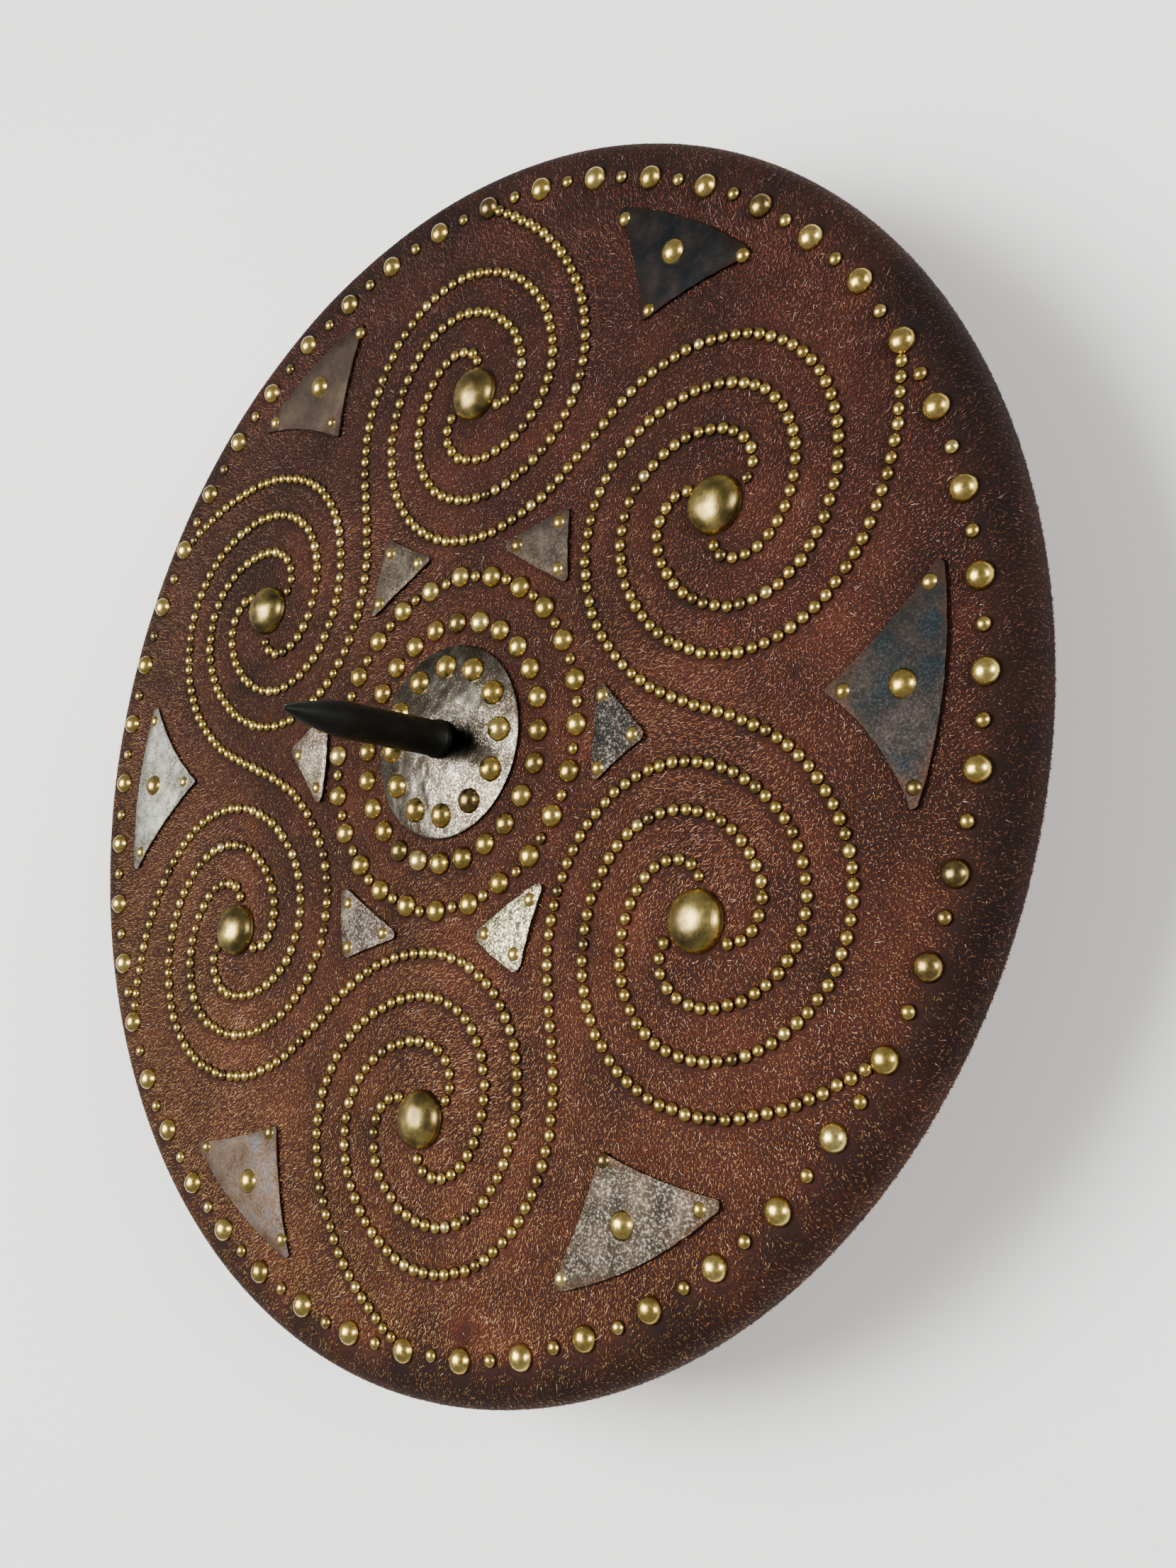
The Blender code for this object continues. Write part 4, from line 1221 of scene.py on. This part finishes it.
def make_centre_plate(large, brass):
    """The dished plate in the middle, hammered all over, and its ring of twelve nails."""
    plate = disc("centre_plate_sheet", CENTRE_PLATE / 2, 84, 0.0)
    corners = corners_of(plate)
    x, y = corners[:, 0], corners[:, 1]
    radius = np.hypot(x, y)
    fade = np.clip((CENTRE_PLATE / 2 - radius) / (3 * MM), 0, 1)
    beaten = 0.10 * MM * ripple(x, y, 9 * MM, 31) + 0.05 * MM * ripple(x, y, 4 * MM, 32)
    corners[:, 2] = centre_plate_height(radius) + beaten * fade - NAIL_BITE
    put_corners(plate, corners)
    mark(plate, "edge", np.clip(radius / (CENTRE_PLATE / 2) - 0.5, 0, 0.5) * 1.3)
    # Painted shade: the spike's painted shadow and reflection beside its root, and the darker upper
    # half.
    mark(plate, "painted_shade_mask", painted_shade_on_centre(x, y))
    thicken(plate, SHEET - NAIL_BITE, bevel=0.3 * MM, segments=2)
    steel = steel_material("hammered_steel_centre", *STEEL_SHADES["centre_plate"])
    keep(plate, steel, 35, ["centre_plate"])
    ring = CENTRE_PLATE / 2 - CENTRE_STUD_MARGIN
    slope = 2 * CENTRE_PLATE_RISE * ring / (CENTRE_PLATE / 2) ** 2
    places = []
    for i in range(CENTRE_STUDS):
        angle = 90 + CENTRE_STUD_TURN + 360 * i / CENTRE_STUDS
        up = (UP + polar(slope, angle)).normalized()
        foot = polar(ring, angle) + Vector((0, 0, centre_plate_height(ring) - NAIL_BITE))
        places.append(set_down(foot, up, CENTRE_STUD, CENTRE_STUD * STUD_RISE, 30 * i))
    nails = scatter("centre_plate_nails", large, places, nail_tone(CENTRE_STUDS))
    keep(nails, brass, 60, ["centre_plate"])


def spike_profile():
    """Half section of the spike from its tip down: radius and height of each corner."""
    half, collar, tip = SPIKE_DIAMETER / 2, SPIKE_COLLAR / 2, SPIKE_TIP_DIAMETER / 2
    profile = [(0.0, SPIKE_LENGTH), (tip * 0.55, SPIKE_LENGTH - tip * 0.25)]
    steps = 14
    for i in range(steps + 1):
        share = i / steps
        swell = math.sin(math.radians(90 * share)) ** SPIKE_POINT_FULLNESS
        profile.append((tip + (half - tip) * swell, SPIKE_LENGTH - tip - SPIKE_POINT * share))
    for share in (0.8, 0.6, 0.4, 0.2):
        profile.append((half, SPIKE_COLLAR_HEIGHT + collar - half
                        + (SPIKE_LENGTH - SPIKE_POINT - SPIKE_COLLAR_HEIGHT) * share))
    return profile + [
        (half, SPIKE_COLLAR_HEIGHT + collar - half),
        (half + (collar - half) * 0.6, SPIKE_COLLAR_HEIGHT + (collar - half) * 0.25),
        (collar, SPIKE_COLLAR_HEIGHT - 0.8 * MM),
        (collar, 0.4 * MM),
        (collar - 0.4 * MM, 0.0),
        (0.0, 0.0)]


def make_spike(material):
    """The black spike, turned from its profile: collar, shank and bullet point."""
    spike = start("spike_turned", bpy.ops.mesh.primitive_plane_add, size=1.0)
    with editing():
        bpy.ops.mesh.delete(type="VERT")
    line = [(radius, 0.0, height) for radius, height in spike_profile()]
    spike.data.from_pydata(line, [(i, i + 1) for i in range(len(line) - 1)], [])
    with editing():
        bpy.ops.mesh.spin(steps=40, angle=2 * math.pi, center=(0, 0, 0), axis=(0, 0, 1))
        bpy.ops.mesh.select_all(action="SELECT")
        bpy.ops.mesh.remove_doubles(threshold=0.00001)
        bpy.ops.mesh.normals_make_consistent(inside=False)
    corners = corners_of(spike)
    turn = np.arctan2(corners[:, 1], corners[:, 0])
    worn = 0.10 * MM * ripple(turn * 8 * MM, corners[:, 2], 16 * MM, 51)
    radius = np.hypot(corners[:, 0], corners[:, 1])
    off_axis = radius > SPIKE_TIP_DIAMETER / 2 * 1.2
    grow = 1 + worn / np.maximum(radius, SPIKE_DIAMETER / 2) * off_axis
    corners[:, :2] *= grow[:, None]
    put_corners(spike, corners)
    foot = Vector((0, 0, centre_plate_height(0.0) + FIT_GAP))
    axis = polar(1.0, SPIKE_LEAN_TOWARD + 90)
    spike.data.transform(Matrix.Translation(foot) @ Matrix.Rotation(math.radians(SPIKE_LEAN), 4, axis))
    keep(spike, material, 45, ["spike"])


# Back and straps

def strap_side(thickness):
    """Middle line of a strap in the Y-Z plane, from its -Y end to its +Y end."""
    tab = BACK_HEIGHT - FIT_GAP - thickness / 2
    crest = thickness / 2
    foot, bend = STRAP_SPAN / 2, STRAP_CREST / 2
    pull = (foot - bend) * STRAP_BEND
    drop = bezier(Vector((0, foot, tab)), Vector((0, foot - pull, tab)),
                  Vector((0, bend + pull, crest)), Vector((0, bend, crest)), 20)
    half = [Vector((0, foot + STRAP_TAB, tab))] + drop
    mirrored = [Vector((0, -point.y, point.z)) for point in half]
    return mirrored + list(reversed(half))


def strap_line(thickness, count):
    """Evenly spaced points of a strap's middle line, the way out of its outer side and along it."""
    spots, ahead = evenly(strap_side(thickness), count=count)
    out = np.stack([ahead[:, 0], ahead[:, 2], -ahead[:, 1]], axis=1)
    return spots, out, ahead


def make_strap(name, low, high, thickness, columns, leather, thread, large, brass):
    """A leather strap bowed out from the back, with a sewn edge and nails through its tabs."""
    centre, width = (low.x + high.x) / 2, high.x - low.x
    rows, lanes = 120, 20
    strap = start(name + "_leather", bpy.ops.mesh.primitive_grid_add, x_subdivisions=lanes,
                  y_subdivisions=rows, size=2.0)
    corners = corners_of(strap)
    spots, out, _ = strap_line(thickness, rows + 1)
    row = np.rint((corners[:, 1] + 1) / 2 * rows).astype(int)
    share = corners[:, 0].copy()
    groove = np.exp(-((np.abs(share) * width / 2 - (width / 2 - STITCH_MARGIN)) / (0.9 * MM)) ** 2)
    edge = np.clip((np.abs(share) - 0.9) / 0.1, 0, 1)
    sunk = groove * 0.35 * MM + edge ** 2 * 0.4 * MM
    surface = spots[row] + out[row] * (thickness / 2 - sunk)[:, None]
    surface[:, 0] = centre + share * width / 2
    put_corners(strap, surface)
    thicken(strap, thickness - 0.4 * MM, bevel=0.8 * MM, segments=2, offset=1.0)
    with editing():
        bpy.ops.mesh.normals_make_consistent(inside=False)
    keep(strap, leather, 50, [name])
    make_stitches(name, centre, width, thickness, thread)
    under = BACK_HEIGHT - FIT_GAP - thickness + 0.2 * MM
    places = []
    for side in (-1, 1):
        for column in range(columns):
            offset = width * ((column + 0.5) / columns - 0.5)
            foot = Vector((centre + offset, side * (STRAP_SPAN + STRAP_TAB) / 2, under))
            places.append(set_down(foot, -UP, STRAP_NAIL, STRAP_NAIL * STUD_RISE, 20 * column))
    nails = scatter(name + "_nails", large, places, nail_tone(len(places)))
    keep(nails, brass, 60, [name])


def make_stitches(name, centre, width, thickness, thread):
    """A line of stitches along each edge of a strap, each one a short rounded bar."""
    bar = start("stitch_pattern", bpy.ops.mesh.primitive_cylinder_add, vertices=6, radius=0.5,
                depth=1.0, end_fill_type="NGON")
    with editing():
        bpy.ops.mesh.bevel(offset=0.2, segments=1, affect="EDGES")
    spots, out, ahead = strap_line(thickness, 400)
    lengths = np.concatenate([[0], np.cumsum(np.linalg.norm(np.diff(spots, axis=0), axis=1))])
    places = []
    for where in np.arange(STITCH_MARGIN, lengths[-1] - STITCH_MARGIN, STITCH_PITCH):
        step = int(np.searchsorted(lengths, where))
        along, outward = Vector(ahead[step]), Vector(out[step])
        turn = Matrix((outward.cross(along), outward, along)).transposed().to_4x4()
        for side in (-1, 1):
            foot = Vector(spots[step]) + outward * (thickness / 2 - STITCH_SINK)
            foot.x = centre + side * (width / 2 - STITCH_MARGIN)
            places.append(np.array(Matrix.Translation(foot) @ turn @ Matrix.Diagonal(STITCH_SIZE)))
    stitches = scatter(name + "_stitching", bar, places, np.full(len(places), 0.5))
    keep(stitches, thread, 60, [name])
    bpy.data.objects.remove(bar)


def make_back_lining(leather, iron, small):
    """A plain leather lining over the back, tacked down over the turned edge of the hide."""
    radius = RADIUS - TURNED_OVER + 7 * MM
    lining = disc("back_lining", radius, 96, BACK_HEIGHT)
    corners = corners_of(lining)
    x, y = corners[:, 0].copy(), corners[:, 1].copy()
    turn = np.arctan2(y, x)
    near_edge = np.clip(np.hypot(x, y) / radius - 0.9, 0, 0.1) / 0.1
    corners[:, :2] *= (1 + 0.006 * np.sin(11 * turn + 1) * near_edge)[:, None]
    corners[:, 2] += 0.12 * MM * (1 + ripple(x, y, 40 * MM, 71)) * (1 - near_edge)
    put_corners(lining, corners)
    with editing():
        bpy.ops.mesh.flip_normals()
    thicken(lining, LINING_THICKNESS)
    keep(lining, leather, 40, ["hide_covered_board"])
    places = []
    for i in range(RIM_STUDS):
        spot = polar(radius - 6 * MM, 360 * (i + 0.5) / RIM_STUDS)
        spot.z = BACK_HEIGHT + 0.15 * MM
        places.append(set_down(spot, -UP, TACK, TACK_HEIGHT))
    tacks = scatter("back_tacks", small, places, np.full(len(places), 0.4))
    keep(tacks, iron, 60, ["hide_covered_board"])


# Stage

def make_camera():
    """The photograph's viewing angle: close in, looking down on the face from the right."""
    data = bpy.data.cameras.new("camera")
    data.lens = CAMERA_LENS
    data.sensor_width = CAMERA_SENSOR
    camera = bpy.data.objects.new("camera", data)
    bpy.context.scene.collection.objects.link(camera)
    turn = Matrix((CAMERA_RIGHT, CAMERA_UP, CAMERA_BACK)).transposed().to_4x4()
    camera.matrix_world = Matrix.Translation(CAMERA_PLACE) @ turn
    bpy.context.scene.camera = camera


def make_lamp(name, place, size, power, colour):
    """A soft square lamp at a place, facing the middle of the shield's face."""
    data = bpy.data.lights.new(name, "AREA")
    data.shape = "RECTANGLE"
    data.size, data.size_y = size
    data.energy = power
    data.color = colour
    lamp = bpy.data.objects.new(name, data)
    bpy.context.scene.collection.objects.link(lamp)
    facing = Vector((0, 0, FACE_HEIGHT)) - Vector(place)
    lamp.matrix_world = (Matrix.Translation(place)
                         @ facing.to_track_quat("-Z", "Y").to_matrix().to_4x4())


def make_stage():
    """A white floor, a pale surround and the two lamps that the nail heads mirror."""
    floor = start("floor", bpy.ops.mesh.primitive_plane_add, size=14.0)
    floor.data.materials.append(floor_material())
    world = bpy.data.worlds.new("surround")
    bpy.context.scene.world = world
    world.use_nodes = True
    sky = world.node_tree.nodes["Background"]
    sky.inputs["Color"].default_value = srgb("#F4F5F7")
    sky.inputs["Strength"].default_value = SKY_STRENGTH
    for lamp in LAMPS:
        make_lamp(*lamp)


def main():
    """Make every piece, the stage and the camera."""
    skin = hide_skin_material()
    nap = hair_material()
    brass = brass_stud_material()
    spun = boss_material()
    black = black_iron_material()
    strap = leather_material("strap_leather_brown", "#2E1A10", "#5A3723", 1.3, 0.42)
    lining = leather_material("lining_leather", "#54382A", "#8A6044", 1.8, 0.6)
    thread = thread_material()
    make_hide_cover(skin)
    hair = start("hair_pattern", bpy.ops.mesh.primitive_cone_add, vertices=3, radius1=0.5,
                 radius2=0.0, depth=1.0, location=(0, 0, 0.5), end_fill_type="NGON")
    make_nap(hair, nap)
    make_stray_hairs(hair, nap)
    small = dome("small_nail_pattern", 12, 6, skirt=0.2)
    large = dome("large_nail_pattern", 18, 8, skirt=0.2, lip=0.02, flange=1.012)
    make_hide_nails(small, large, brass)
    make_bosses(spun)
    make_plates(small, large, brass)
    make_centre_plate(large, brass)
    make_spike(black)
    make_strap("arm_strap", arm_low, arm_high, ARM_STRAP_THICKNESS, 3, strap, thread, large, brass)
    make_strap("hand_grip", grip_low, grip_high, GRIP_THICKNESS, 2, strap, thread, large, brass)
    make_back_lining(lining, black, small)
    for pattern in (hair, small, large):
        bpy.data.objects.remove(pattern)
    make_stage()
    make_camera()


main()
